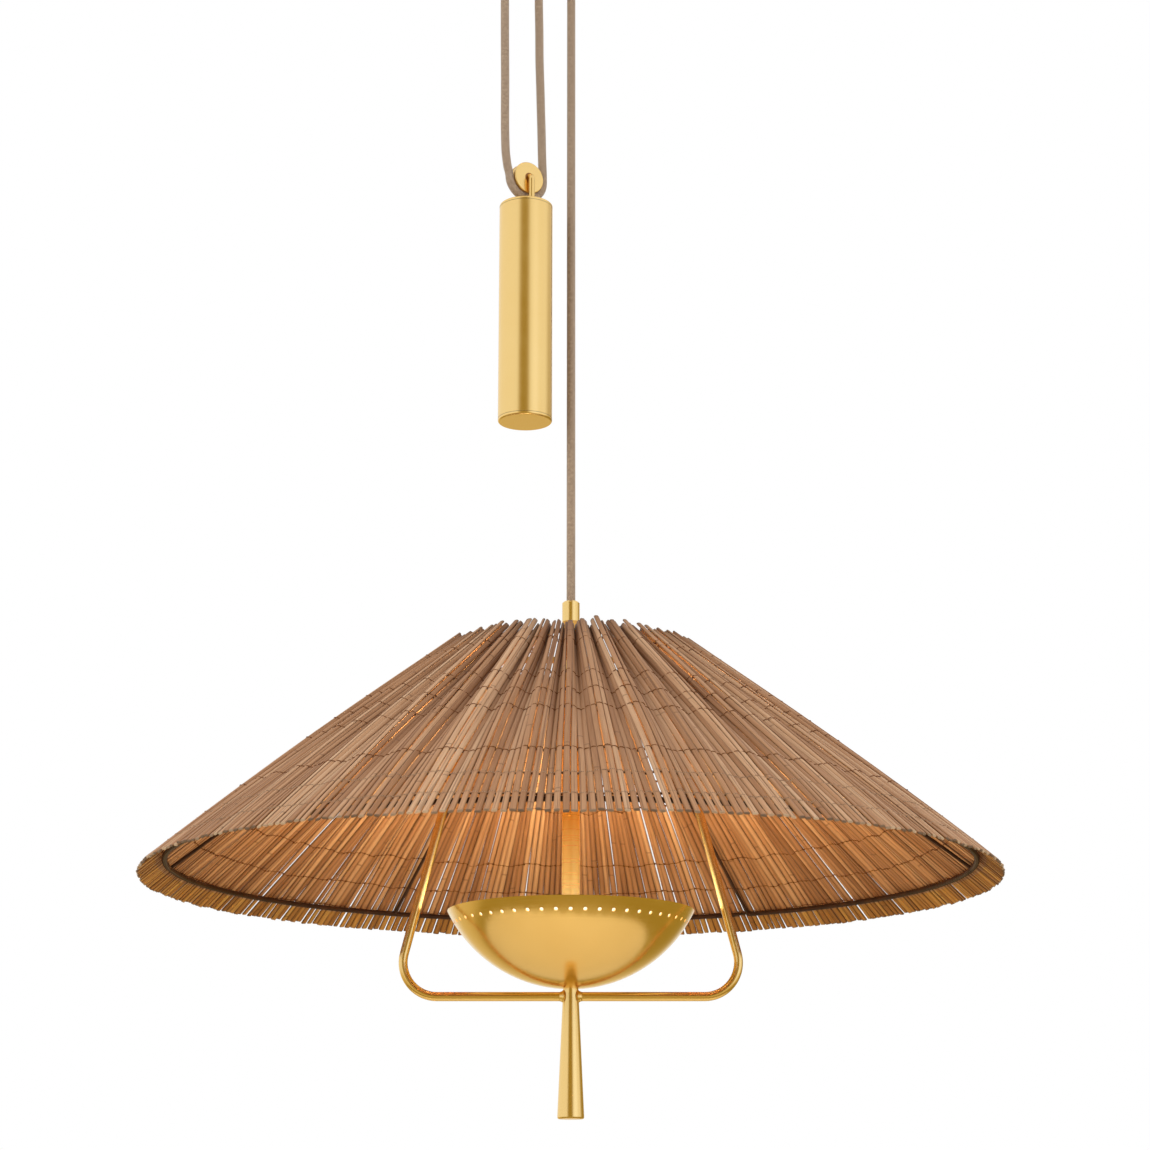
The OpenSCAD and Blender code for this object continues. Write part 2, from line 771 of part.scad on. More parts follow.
// Pleated mat of split bamboo: full pleats at the top, flat at the rim, with slots
module shade_mat() {
  n = sticks;
  m = len(mat_levels) - 1;
  skin = (m + 1) * n;
  points = [for (inward = [0, stick_level_t]) for (t = mat_levels) for (i = [0:n - 1])
    mat_point(i, t, inward)];
  walls = [for (k = [0:m - 1]) for (i = [0:n - 1])
    let (
      a = k * n + i, b = k * n + (i + 1) % n, c = b + n, d = a + n,
      ia = skin + a, ib = skin + b, ic = skin + c, id = skin + d
    )
    each slotted(i, k)
      ? concat(
        four_sided(a, b, ib, ia), four_sided(b, c, ic, ib),
        four_sided(c, d, id, ic), four_sided(d, a, ia, id)
      )
      : concat(four_sided(a, b, c, d), four_sided(ia, id, ic, ib))];
  edges = [for (i = [0:n - 1])
    let (j = (i + 1) % n, e = m * n + i, f = m * n + j)
    each concat(four_sided(j, i, skin + i, skin + j), four_sided(e, f, skin + f, skin + e))];
  color(bamboo) at_lamp()
    polyhedron(points = points, faces = concat(walls, edges), convexity = 10);
}

// ---- Lamp: side frame ----

// Lower corner: the part of a ring between the bar and the arm
module frame_bend() {
  reach = frame_bend_r + rod_d;
  difference() {
    rotate([90, 0, 0]) rotate_extrude() translate([frame_bend_r, 0]) circle(d = rod_d);
    translate([-reach, -rod_d, -reach]) cube([reach, 2 * rod_d, 2 * reach]);
    rotate([0, -arm_lean, 0]) translate([0, -rod_d, 0]) cube([reach, 2 * rod_d, reach]);
  }
}

module side_frame() {
  color(brass) at_lamp() difference() {
    union() {
      translate([-bend_x, 0, bar_z]) rotate([0, 90, 0]) cylinder(d = rod_d, h = 2 * bend_x);
      for (m = [0, 1]) mirror([m, 0, 0]) {
        translate([bend_x, 0, bend_z]) frame_bend();
        difference() {
          translate([bend_x, 0, bend_z]) rotate([0, -arm_lean, 0])
            translate([frame_bend_r, 0, 0]) cylinder(d = rod_d, h = arm_l + rod_d);
          translate([0, -rod_d, spider_low]) cube([frame_w, 2 * rod_d, 4 * rod_d]);
        }
        translate([frame_top_w / 2, 0, spider_low - 2])
          cylinder(d = frame_thread_d, h = 2 + spider_t + frame_nut_h + 1);
      }
    }
    translate([0, 0, bar_z - rod_d]) cylinder(d = handle_stud_d + hole_clear, h = 2 * rod_d);
  }
}

module frame_nut(side) {
  color(brass) at_lamp() translate([side * frame_top_w / 2, 0, spider_top])
    hex_nut(frame_thread_d, frame_nut_h);
}

// ---- Lamp: bowl and lampholders ----

module bowl() {
  hole_z = bowl_rim - bowl_hole_drop;
  dip = asin((bowl_centre - hole_z) / bowl_r);
  color(brass) at_lamp() difference() {
    rotate_extrude() intersection() {
      translate([0, bowl_base]) square([bowl_d, bowl_rim - bowl_base]);
      difference() {
        translate([0, bowl_centre]) circle(r = bowl_r);
        intersection() {
          translate([0, bowl_centre]) circle(r = bowl_r - bowl_wall);
          translate([-bowl_d, bowl_floor]) square([2 * bowl_d, 2 * bowl_d]);
        }
      }
    }
    for (k = [0:bowl_holes - 1]) translate([0, 0, bowl_centre])
      rotate([0, 90 + dip, 360 * k / bowl_holes])
        translate([0, 0, bowl_r - 2 * bowl_wall - 2])
          cylinder(d = bowl_hole_d, h = 2 * bowl_wall + 4);
    translate([0, 0, bowl_base - eps])
      cylinder(d = handle_stud_d + hole_clear, h = bowl_wall + 2 * eps);
  }
}

module stem_foot() {
  color(dark_brass) at_lamp() difference() {
    union() {
      translate([0, 0, bowl_floor]) cylinder(d = foot_neck_d, h = lamp_plate_rise);
      translate([0, 0, plate_low - foot_flange_t]) cylinder(d = foot_flange_d, h = foot_flange_t);
      translate([0, 0, plate_low])
        cylinder(d = stem_bore_d, h = lamp_plate_t + foot_spigot_h);
    }
    translate([0, 0, bowl_floor - eps])
      cylinder(d = handle_stud_d, h = lamp_plate_rise + eps);
  }
}

module lamp_plate() {
  color(steel) at_lamp() translate([0, 0, plate_low]) ring(lamp_plate_d, stem_bore_d, lamp_plate_t);
}

module at_holder(k) {
  at_lamp() rotate([0, 0, 45 + 90 * k]) translate([holder_pitch / 2, 0, plate_top]) children();
}

module lampholder(k) {
  color(ceramic) at_holder(k) difference() {
    cylinder(d = holder_d, h = holder_h);
    translate([-socket_w / 2, -socket_l / 2, holder_h - socket_depth])
      cube([socket_w, socket_l, socket_depth + eps]);
  }
}

module bulb(k) {
  r = bulb_d / 2;
  color(glow) at_holder(k) {
    translate([-socket_w / 2, -socket_l / 2, holder_h - socket_depth])
      cube([socket_w, socket_l, socket_depth + 4]);
    translate([0, 0, holder_h + 3]) rotate_extrude() intersection() {
      union() {
        square([r, bulb_l - 3 - r]);
        translate([0, bulb_l - 3 - r]) circle(r = r);
      }
      square([r, bulb_l]);
    }
  }
}

module handle() {
  rt = handle_top_d / 2;
  rb = handle_d / 2;
  color(brass) at_lamp() difference() {
    rotate_extrude() polygon([
      [0, handle_low], [rb - edge, handle_low], [rb - 0.3 * edge, handle_low + 0.3 * edge],
      [rb, handle_low + edge], [rt, bowl_base], [0, bowl_base]
    ]);
    translate([-handle_d, 0, bar_z]) rotate([0, 90, 0])
      cylinder(d = rod_d + 2 * run_clear, h = 2 * handle_d);
    translate([0, 0, bowl_base - stud_depth]) cylinder(d = handle_stud_d, h = stud_depth + eps);
  }
}

module handle_stud() {
  color(steel) at_lamp() translate([0, 0, bowl_base - stud_depth])
    cylinder(d = handle_stud_d, h = stud_depth + bowl_wall + lamp_plate_rise);
}

mounting_plate();
canopy();
load_plate();
canopy_stud(-1);  // canopy_stud_front
canopy_stud(1);  // canopy_stud_rear
dome_nut(-1);  // dome_nut_front
dome_nut(1);  // dome_nut_rear
ground_screw();
terminal_block();
cord_anchor();
anchor_nut();
pulley_fork();
fork_nut();
ceiling_axle();
axle_nut();
ceiling_pulley();
ceiling_bush();
cord_anchor_run();
cord_weight_wrap();
cord_middle_run();
cord_ceiling_wrap();
cord_lamp_run();
stirrup();
stirrup_nut(-1);  // stirrup_nut_front
stirrup_nut(1);  // stirrup_nut_rear
weight_cap();
weight_tube();
weight_slug();
weight_base();
weight_pulley();
weight_bush();
cord_grip();
stem();
stem_collar();
spider();
shade_wire_frame();
shade_mat();
side_frame();
frame_nut(-1);  // frame_nut_left
frame_nut(1);  // frame_nut_right
bowl();
stem_foot();
lamp_plate();
lampholder(0);  // lampholder_1
lampholder(1);  // lampholder_2
lampholder(2);  // lampholder_3
lampholder(3);  // lampholder_4
bulb(0);  // bulb_1
bulb(1);  // bulb_2
bulb(2);  // bulb_3
bulb(3);  // bulb_4
handle();
handle_stud();
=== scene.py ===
# %% [markdown]
# # A rise and fall pendant, dressed
# A wide pleated mat of split bamboo hangs over a pierced brass bowl, on one cord that
# runs over a ceiling pulley and round the pulley of a counterweight. The solids come
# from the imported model. This lesson gives them their finishes and adds what is too
# fine for solids: every stick of the mat, every thread that binds it, and the weave of
# the cord. Each step says what a piece is on the real lamp, how it could be made in
# Blender, and why it was made this way.

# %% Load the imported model
import math
import random
import bpy
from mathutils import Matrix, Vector


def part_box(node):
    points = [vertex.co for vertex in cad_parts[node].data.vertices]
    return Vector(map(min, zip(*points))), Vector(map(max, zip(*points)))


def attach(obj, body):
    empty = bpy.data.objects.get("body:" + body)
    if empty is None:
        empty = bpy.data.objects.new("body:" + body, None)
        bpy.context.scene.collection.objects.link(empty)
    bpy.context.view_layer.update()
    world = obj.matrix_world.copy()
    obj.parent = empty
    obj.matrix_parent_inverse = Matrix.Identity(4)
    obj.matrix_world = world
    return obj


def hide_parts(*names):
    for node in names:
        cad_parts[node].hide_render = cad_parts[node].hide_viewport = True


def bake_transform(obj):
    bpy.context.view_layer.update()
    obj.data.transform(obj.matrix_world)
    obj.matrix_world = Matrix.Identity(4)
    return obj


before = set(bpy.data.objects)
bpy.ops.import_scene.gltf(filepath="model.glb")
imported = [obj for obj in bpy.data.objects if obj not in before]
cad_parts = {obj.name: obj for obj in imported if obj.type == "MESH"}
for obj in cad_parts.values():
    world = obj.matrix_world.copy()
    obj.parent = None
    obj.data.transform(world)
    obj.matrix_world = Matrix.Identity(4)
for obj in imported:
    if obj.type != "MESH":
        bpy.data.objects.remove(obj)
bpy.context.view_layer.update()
MM = 0.001
print("packed nodes:", len(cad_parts))

# %% [markdown]
# Gravity keeps the whole cord in one upright plane, which stands 32 degrees round from
# the front view. Its points could be given in x, y and z, but two numbers are enough:
# how far along the plane, and how high. So two unit vectors describe the plane, and one
# function turns a pair of millimetres into a point in Blender's metres. The lamp and
# the weight each hang on an upright axis of their own in that plane.

# %% The cord's plane and the two hanging axes
YAW = math.radians(32)
ALONG = Vector((math.cos(YAW), math.sin(YAW), 0))
ACROSS = Vector((-math.sin(YAW), math.cos(YAW), 0))
UP = Vector((0, 0, 1))
LAMP_ALONG, WEIGHT_ALONG = 37, -13


def in_cord_plane(w, z):
    """A point of the cord's plane, from millimetres along it and up."""
    return ALONG * (w * MM) + UP * (z * MM)


LAMP, WEIGHT = in_cord_plane(LAMP_ALONG, 0), in_cord_plane(WEIGHT_ALONG, 0)
print("lamp axis at", [round(c, 4) for c in LAMP[:2]])
print("weight axis at", [round(c, 4) for c in WEIGHT[:2]])

# %% [markdown]
# The picture is taken from a little below the lamp, so it looks up into the shade, and
# the near side of the rim appears above the far side. A lens shift could frame the lamp
# too, but it would stay on in every other view. So a long lens stands a little over two
# metres away and is tilted up.

# %% Camera
LENS, SENSOR, TILT = 77.78, 36, 15.191
VIEW_SIDE, VIEW_AWAY, VIEW_Z = 3.7, 2197, -1258
camera_data = bpy.data.cameras.new("viewer")
camera_data.lens = LENS
camera_data.sensor_width = SENSOR
camera_data.clip_end = 30
camera = bpy.data.objects.new("viewer", camera_data)
camera.location = (LAMP.x + VIEW_SIDE * MM, LAMP.y - VIEW_AWAY * MM, VIEW_Z * MM)
camera.rotation_euler = (math.radians(90 + TILT), 0, 0)
bpy.context.collection.objects.link(camera)
bpy.context.scene.camera = camera
print("camera", [round(c, 3) for c in camera.location])

# %% [markdown]
# Nearly every new piece is a stack of rings joined by faces: a cord, a thread, a stick,
# a turned ring. Bevelled curves could make the cords and an array could repeat a stick,
# but no two sticks are alike, and a finish has to know how its piece lies. So one small
# builder collects points and faces. At each corner it also keeps how far round and
# along the piece that corner is, in metres, and grain and weave follow the piece
# whatever way it bends.


# %% A builder of rings
class Build:
    """Points, faces and lay of one mesh, with named values kept at each point."""

    def __init__(self):
        self.points, self.faces, self.lay, self.values = [], [], [], {}

    def ring_stack(self, rings, round_m, along_m, closed=False, **values):
        """Joins rings of equal length. Each of the values has one number a ring."""
        first, n, m = len(self.points), len(rings[0]), len(rings)
        for ring in rings:
            self.points.extend(ring)
        for name, given in values.items():
            kept = self.values.setdefault(name, [])
            for value in given:
                kept.extend([value] * n)
        for k in range(m if closed else m - 1):
            here, there = first + k * n, first + (k + 1) % m * n
            v, v2 = along_m[k], along_m[k + 1]
            for j in range(n):
                j2 = (j + 1) % n
                u, u2 = round_m[j], round_m[j + 1]
                self.faces.append((here + j, here + j2, there + j2, there + j))
                self.lay.extend([(u, v), (u2, v), (u2, v2), (u, v2)])
        if not closed:
            self.cap(first, list(reversed(range(n))), round_m, along_m[0])
            self.cap(first + (m - 1) * n, list(range(n)), round_m, along_m[-1])

    def cap(self, first, order, round_m, v):
        """Closes an end with one face over the ring that starts at the point first."""
        self.faces.append(tuple(first + j for j in order))
        self.lay.extend([(round_m[j], v) for j in order])

    def piece(self, name, look, body, slot):
        """Makes the mesh object, gives it its look and lets it ride on a body."""
        mesh = bpy.data.meshes.new(name)
        mesh.from_pydata(self.points, [], self.faces)
        lay = mesh.uv_layers.new(name="lay")
        lay.data.foreach_set("uv", [c for pair in self.lay for c in pair])
        for key, given in self.values.items():
            mesh.attributes.new(key, "FLOAT", "POINT").data.foreach_set("value", given)
        mesh.polygons.foreach_set("use_smooth", [len(f) == 4 for f in self.faces])
        mesh.materials.append(look.material)
        obj = bpy.data.objects.new(name, mesh)
        bpy.context.collection.objects.link(obj)
        if body:
            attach(obj, body)
        print(name, len(mesh.vertices), "points")
        return obj


# %% [markdown]
# A finish is a small network of shader nodes, which could be wired up node by node.
# Written as Python sums it is shorter, and reads like what it works out. So one class
# wraps a socket, and each + or * on it adds a Math node.


# %% Sockets that do sums
class Wire:
    """A shader output that can be used in Python sums."""

    def __init__(self, network, socket):
        self.network, self.socket = network, socket

    def sum_with(self, operation, a, b=0.0):
        return self.network.node("ShaderNodeMath", {"operation": operation}, {0: a, 1: b})

    def __add__(self, other):
        return self.sum_with("ADD", self, other)

    __radd__ = __add__

    def __mul__(self, other):
        return self.sum_with("MULTIPLY", self, other)

    __rmul__ = __mul__

    def __sub__(self, other):
        return self.sum_with("SUBTRACT", self, other)

    def __rsub__(self, other):
        return self.sum_with("SUBTRACT", other, self)

    def __truediv__(self, other):
        return self.sum_with("DIVIDE", self, other)

    def __pow__(self, other):
        return self.sum_with("POWER", self, other)

    def __gt__(self, other):
        return self.sum_with("GREATER_THAN", self, other)

    def __mod__(self, other):
        return self.sum_with("MODULO", self, other)

    def fraction(self):
        return self.sum_with("FRACT", self)

    def floor(self):
        return self.sum_with("FLOOR", self)

    def sine(self):
        return self.sum_with("SINE", self)

    def clamp(self):
        return self.network.node("ShaderNodeClamp", {}, {0: self})


# %% [markdown]
# Every other node goes through one method. It sets a node's options first, because
# they decide which sockets it has, and then gives each socket a value or a link. A
# Math node would turn a colour grey, so colours go through Mix nodes, whose colour
# sockets are numbers 6 and 7 going in and 2 coming out.


# %% Networks of nodes
class Network:
    """The shader nodes of a finish or of the room."""

    def __init__(self, tree):
        self.tree = tree

    def node(self, kind, settings, values, out=0):
        made = self.tree.nodes.new(kind)
        for key, value in settings.items():
            if key == "stops":
                self.set_stops(made.color_ramp.elements, value)
            else:
                setattr(made, key, value)
        for key, value in values.items():
            if isinstance(value, Wire):
                self.tree.links.new(value.socket, made.inputs[key])
            else:
                made.inputs[key].default_value = value
        return Wire(self, made.outputs[out])

    def set_stops(self, stops, wanted):
        while len(stops) < len(wanted):
            stops.new(1.0)
        for stop, (place, colour) in zip(stops, wanted):
            stop.position = place
            stop.color = colour

    def parts(self, vector):
        split = self.node("ShaderNodeSeparateXYZ", {}, {0: vector}).socket.node
        return [Wire(self, split.outputs[k]) for k in range(3)]

    def ramp(self, wire, *stops):
        return self.node("ShaderNodeValToRGB", {"stops": stops}, {0: wire})

    def mix(self, share, a, b, how="MIX"):
        kind = {"data_type": "RGBA", "blend_type": how}
        return self.node("ShaderNodeMix", kind, {0: share, 6: a, 7: b}, 2)


# %% [markdown]
# A finish adds what only a material has: the Principled shader, the place or the lay of
# the point that is being drawn, noise, and bumps. Image textures could do the same, but
# they have one sharpness only, while a formula stays sharp from near by.


# %% Finishes made from networks
class Look(Network):
    """One material: a Principled shader and the nodes that feed it."""

    def __init__(self, name, **constants):
        self.material = bpy.data.materials.new(name)
        self.material.use_nodes = True
        super().__init__(self.material.node_tree)
        self.shader = self.tree.nodes["Principled BSDF"]
        for key, value in constants.items():
            self.shader.inputs[key.replace("_", " ")].default_value = value

    def feed(self, socket, wire):
        self.tree.links.new(wire.socket, self.shader.inputs[socket])

    def two_tones(self, wire, dark, light, socket="Base Color"):
        """Feeds a colour that goes from dark to light in the middle of a noise."""
        self.feed(socket, self.ramp(wire, (0.3, dark), (0.7, light)))

    def bump(self, height, strength, distance):
        values = {"Height": height, "Strength": strength, "Distance": distance}
        self.feed("Normal", self.node("ShaderNodeBump", {}, values))

    def place(self):
        """Place in the row frame, in metres."""
        return self.node("ShaderNodeTexCoord", {}, {}, "Object")

    def lay(self):
        """How far round and along its piece a point lies, in metres."""
        return self.parts(self.node("ShaderNodeUVMap", {"uv_map": "lay"}, {}))[:2]

    def join(self, x, y, z):
        return self.node("ShaderNodeCombineXYZ", {}, {0: x, 1: y, 2: z})

    def noise(self, vector, scale, detail=2.0, roughness=0.5):
        values = {"Vector": vector, "Scale": scale, "Detail": detail, "Roughness": roughness}
        return self.node("ShaderNodeTexNoise", {}, values)

    def value(self, name):
        """A value that the builder kept at each point."""
        return self.node("ShaderNodeAttribute", {"attribute_name": name}, {}, "Fac")


def tint(r, g, b):
    """A colour as a paint chart gives it, 0 to 255, in Blender's linear light."""
    shares = [c / 255 for c in (r, g, b)]
    return (*(s / 12.92 if s <= 0.04 else ((s + 0.055) / 1.055) ** 2.4 for s in shares), 1.0)


def tell(*looks):
    """Prints the size of each finish's network."""
    for look in looks:
        print(look.material.name, "has", len(look.tree.nodes), "nodes")


# %% [markdown]
# The cord is a three-core flex in a woven sleeve. Two families of yarn wind round it,
# one each way, and pass over and under each other. They could be modelled, but each is
# only 2 mm wide, so the finish draws them. Where a left and a right yarn cross, a
# chequer of their cells says which lies on top, and each yarn has a round crown. The
# colour is a mixed grey-brown, with painted shade where the yarns sink between each other.

# %% Woven sleeve finish
CORD_R = 4
YARNS, YARN_ROW = 12, 0.0028
EVEN_LIFT = 400.0


def sleeve_look():
    look = Look("woven_sleeve", Roughness=0.78, Sheen_Weight=0.35, Sheen_Roughness=0.5)
    u, v = look.lay()
    turns = u * (YARNS / (2 * math.pi * CORD_R * MM))
    rows = v * (1 / YARN_ROW)
    # An even number keeps the right yarns' count above zero and the chequer as it is.
    left, right = turns + rows, turns - rows + EVEN_LIFT
    chequer = (left.floor() + right.floor()) % 2.0
    crown_left = 1 - (left.fraction() * 2 - 1) ** 2
    crown_right = 1 - (right.fraction() * 2 - 1) ** 2
    yarn = chequer * crown_left + (1 - chequer) * crown_right
    speck = look.noise(look.join(turns * 0.5, rows * 0.8, 0.0), 1.6, 3.0)
    # The darkest of these colours is painted shade where the yarns sink between each other; the speck is
    # the yarn's own mixed tone.
    dip_shade, middle, crown = tint(72, 56, 42), tint(136, 112, 90), tint(200, 174, 146)
    look.feed("Base Color", look.ramp(yarn * 0.4 + speck * 0.6, (0.12, dip_shade), (0.45, middle), (0.8, crown)))
    look.bump(yarn, 0.7, 0.0004)
    return look


woven_sleeve = sleeve_look()
tell(woven_sleeve)

# %% [markdown]
# The cord's route is the model's own: three free stretches, and a half turn on each
# pulley. Its points are repeated here as millimetres along the cord's plane and up. A
# smooth curve goes through them, with rings close enough together that no corner
# shows. The stretches could be one long tube, but each half turn stays on its pulley,
# so they are five.

# %% Route of the cord
ANCHOR_ROUTE = [
    (-38, -18), (-38, -38), (-38, -58), (-38, -79), (-38, -100), (-37.8, -121), (-37.6, -142),
    (-37.3, -163), (-37, -184), (-36.9, -205), (-36.8, -226), (-36.5, -241), (-35.9, -256),
    (-35, -264), (-33.7, -272), (-32.2, -277), (-31.25, -281),
]
MIDDLE_ROUTE = [
    (0.5, -58), (0.2, -74), (0, -90), (0.3, -105), (0.7, -121), (0.9, -137), (1.1, -153),
    (1.6, -168), (2.2, -184), (2.7, -200), (3.2, -215), (3.7, -230), (4.1, -246),
    (4.4, -255), (4.7, -263), (5.1, -272), (5.25, -281),
]
PITCH_R, CEILING_PULLEY_Z, WEIGHT_PULLEY_Z = 18.25, -58, -281
LAMP_RUN, LAMP_SPANS = 643, 27
LAMP_ROUTE = [(LAMP_ALONG, CEILING_PULLEY_Z - LAMP_RUN * k / LAMP_SPANS) for k in range(LAMP_SPANS + 1)]


def smooth_line(points, steps):
    """A smooth curve through vectors, with a number of steps between each two of them."""
    out = []
    for k in range(len(points) - 1):
        a, b, c, d = [points[min(max(k + n, 0), len(points) - 1)] for n in (-1, 0, 1, 2)]
        for s in range(steps):
            t = s / steps
            bend = (2 * a - 5 * b + 4 * c - d) * t * t
            twist = (3 * b - a - 3 * c + d) * t ** 3
            out.append(0.5 * (2 * b + (c - a) * t + bend + twist))
    return out + [points[-1]]


def smooth_route(route, steps):
    return [in_cord_plane(*p) for p in smooth_line([Vector(p) for p in route], steps)]


def half_turn(w, z, sign, steps=28):
    """The cord over (1) or under (-1) a pulley, from its left side to its right side."""
    turns = [math.pi * k / steps for k in range(steps + 1)]
    return [in_cord_plane(w - PITCH_R * math.cos(t), z + sign * PITCH_R * math.sin(t)) for t in turns]


def route_length(line):
    return sum((b - a).length for a, b in zip(line, line[1:]))


print("anchor route", round(route_length(smooth_route(ANCHOR_ROUTE, 5)), 4), "m")

# %% [markdown]
# A tube is a ring at each point of a line, square to the way the line runs. Left to
# itself a ring would turn as the line bends, and the weave with it, so a side direction
# that is known at each point holds it. For the cord that is the direction across its
# plane. The two half turns ride on their bodies, but the free stretches ride on none,
# though their ends move with the weight or the lamp.


# %% Make the five stretches of cord
def circle(steps):
    return [2 * math.pi * k / steps for k in range(steps)]


def tube(build, line, radius, sides, ups, closed=False):
    """Lays a round tube along a line. ups is a side direction, or one for each point."""
    m = len(line)
    rings, along = [], [0.0]
    for k, p in enumerate(line):
        before = line[(k - 1) % m] if closed or k else p
        after = line[(k + 1) % m] if closed or k < m - 1 else p
        run = (after - before).normalized()
        up = ups[k] if isinstance(ups, list) else ups
        side = (up - run * up.dot(run)).normalized()
        other = run.cross(side)
        rings.append([p + (side * math.cos(t) + other * math.sin(t)) * radius for t in circle(sides)])
        if k < m - 1 or closed:
            along.append(along[-1] + (line[(k + 1) % m] - p).length)
    girth = [2 * math.pi * radius * j / sides for j in range(sides + 1)]
    build.ring_stack(rings, girth, along, closed=closed)


def cord_piece(name, line, body=None, between=None):
    """A stretch of cord that rides on a body if it is given one."""
    build = Build()
    tube(build, line, CORD_R * MM, 20, ACROSS)
    obj = build.piece(name, woven_sleeve, body, "braided_cord")
    if between:
        far_body, near, far = between
        in_cord_plane(0, near)
        in_cord_plane(0, far)
        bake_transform(obj)
    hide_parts(name.replace("braid_", "cord_"))
    round(route_length(line), 4)


over_pulley = half_turn(LAMP_ALONG - PITCH_R, CEILING_PULLEY_Z, 1)
under_pulley = half_turn(WEIGHT_ALONG, WEIGHT_PULLEY_Z, -1)
cord_piece("braid_anchor_run", smooth_route(ANCHOR_ROUTE, 5), between=("counterweight", -40, -240))
cord_piece("braid_middle_run", smooth_route(MIDDLE_ROUTE, 5), between=("counterweight", -62, -262))
cord_piece("braid_lamp_run", smooth_route(LAMP_ROUTE, 6), between=("lamp", -65, -680))
cord_piece("braid_ceiling_wrap", over_pulley, body="ceiling_fitting")
cord_piece("braid_weight_wrap", under_pulley, body="counterweight")

# %% [markdown]
# The mat is one flat blind of 360 sticks before it is folded. At the rim the sticks lie
# side by side, 6.6 mm apart. At the top the same blind is gathered into pleats, most of
# them five to nine sticks wide. A cloth solver could gather it, but stiff sticks don't
# drape: each is a straight line from its place at the rim to its place in the fold, and
# that is all that has to be worked out. First come the pleats' sizes, which are drawn
# by chance, as a hand gathers them.

# %% Sizes of the pleats
STICKS = 360
STEP = 360 / STICKS
SHADE_TOP, SHADE_RIM = -730.0, -945.0
RIM_R, RIDGE_R, FOLD = 379.2, 108.7, 15.5
SLOPE = math.atan2(SHADE_TOP - SHADE_RIM, RIM_R - RIDGE_R)
SMALLEST, USUAL = 5, [5, 6, 6, 7, 7, 7, 8, 8, 9]
chance = random.Random(20)
pleat_sizes = []
while sum(pleat_sizes) < STICKS:
    left_over = STICKS - sum(pleat_sizes)
    size = chance.choice(USUAL)
    fits = left_over - size >= SMALLEST or left_over == size
    pleat_sizes.append(size if fits else left_over)
print(len(pleat_sizes), "pleats of", min(pleat_sizes), "to", max(pleat_sizes), "sticks")

# %% [markdown]
# A pleat's outline at the top edge is broad at the ridge and tight in the valley. The
# sticks keep their spacing along it, so they stand close together on the steep sides
# and lie flat on the ridge. That needs the outline by its own length, so it is drawn
# finely, measured along, and read off at even steps. Each pleat gets its own depth,
# bluffness and lean.

# %% Outlines of the pleats
OUTLINE_HALF, OUTLINE_STEPS, MIDDLE_R = 200, 60, 102
DEPTHS, LEANS, BLUFFS = (0.8, 1.0), (-0.5, 0.5), (2.2, 3.6)


def fold_table(width, depth, bluff):
    """Outline of one pleat as (share across, height), evenly spaced along its length."""
    across = [x / OUTLINE_HALF for x in range(-OUTLINE_HALF, OUTLINE_HALF + 1)]
    fine = [(x / 2, depth * (1 - abs(x) ** bluff)) for x in across]
    run = [0.0]
    for (x0, h0), (x1, h1) in zip(fine, fine[1:]):
        run.append(run[-1] + math.hypot((x1 - x0) * width, h1 - h0))
    out, k = [], 0
    for s in range(OUTLINE_STEPS + 1):
        goal = run[-1] * s / OUTLINE_STEPS
        while k < len(run) - 2 and run[k + 1] < goal:
            k += 1
        share = (goal - run[k]) / (run[k + 1] - run[k])
        out.append(tuple(a + share * (b - a) for a, b in zip(fine[k], fine[k + 1])))
    return out


PLEATS = []
begin = 0
for size in pleat_sizes:
    deep = FOLD * chance.uniform(*DEPTHS)
    lean = chance.uniform(*LEANS)
    bluff = chance.uniform(*BLUFFS)
    PLEATS.append((begin, size, fold_table(size * math.radians(STEP) * MIDDLE_R, deep, bluff), lean))
    begin += size
PLEAT_OF = [k for k, pleat in enumerate(PLEATS) for _ in range(pleat[1])]
print("pleats", [round(FOLD * share, 1) for share in DEPTHS], "mm deep at the top edge")

# %% [markdown]
# A point of the folded blind is known by two numbers: u, how many sticks round, and s,
# from 0 at the top to 1 at the rim. It lies on the line between the top edge and the
# rim. The folds stand square to the slope. The real mat isn't quite a cone. It bulges by
# 2 mm at the top edge, a little over 4 mm half way down and nothing at the rim, and its
# rim rises a little on both sides of the front.

# %% Places on the folded blind
TOP_BULGE, TOP_BULGE_END, MIDDLE_BULGE, MIDDLE_BULGE_BEND = 2.0, 12, 2.3, 1.5
RIM_WAVE, NEAR = 2.6, 0.3


def polar(degrees, r, z):
    """A point round the lamp's axis, from degrees and millimetres."""
    a = math.radians(degrees)
    return Vector((LAMP.x + r * MM * math.cos(a), LAMP.y + r * MM * math.sin(a), z * MM))


def in_pleat(u):
    """The pleat that holds the width u, and how many steps along its outline u lies."""
    u = u % STICKS
    begin, size, table, lean = PLEATS[PLEAT_OF[int(u)]]
    return begin, size, table, lean, (u - begin) / size * OUTLINE_STEPS


def top_place(u):
    """Where the width u lies at the shade's top edge."""
    begin, size, table, lean, t = in_pleat(u)
    k = int(t)
    x, h = [a + (t - k) * (b - a) for a, b in zip(table[k], table[k + 1])]
    turn = STEP * (begin + size * (0.5 + x + lean * h / FOLD * (0.25 - x * x)))
    sunk = FOLD - h
    return polar(turn, RIDGE_R - sunk * math.sin(SLOPE), SHADE_TOP - sunk * math.cos(SLOPE))


def sunk_share(u):
    """How deep in the fold the width u lies: 0 on a ridge, 1 in a valley."""
    _, _, table, _, t = in_pleat(u)
    return 1 - table[int(t)][1] / FOLD


def rim_place(u):
    """Where the width u lies at the rim, which rises left and right of the front."""
    a = math.radians(STEP * u)
    rise = max(0.0, -math.sin(a)) * abs(math.cos(a)) * 2
    return polar(STEP * u, RIM_R, SHADE_RIM + RIM_WAVE * rise)


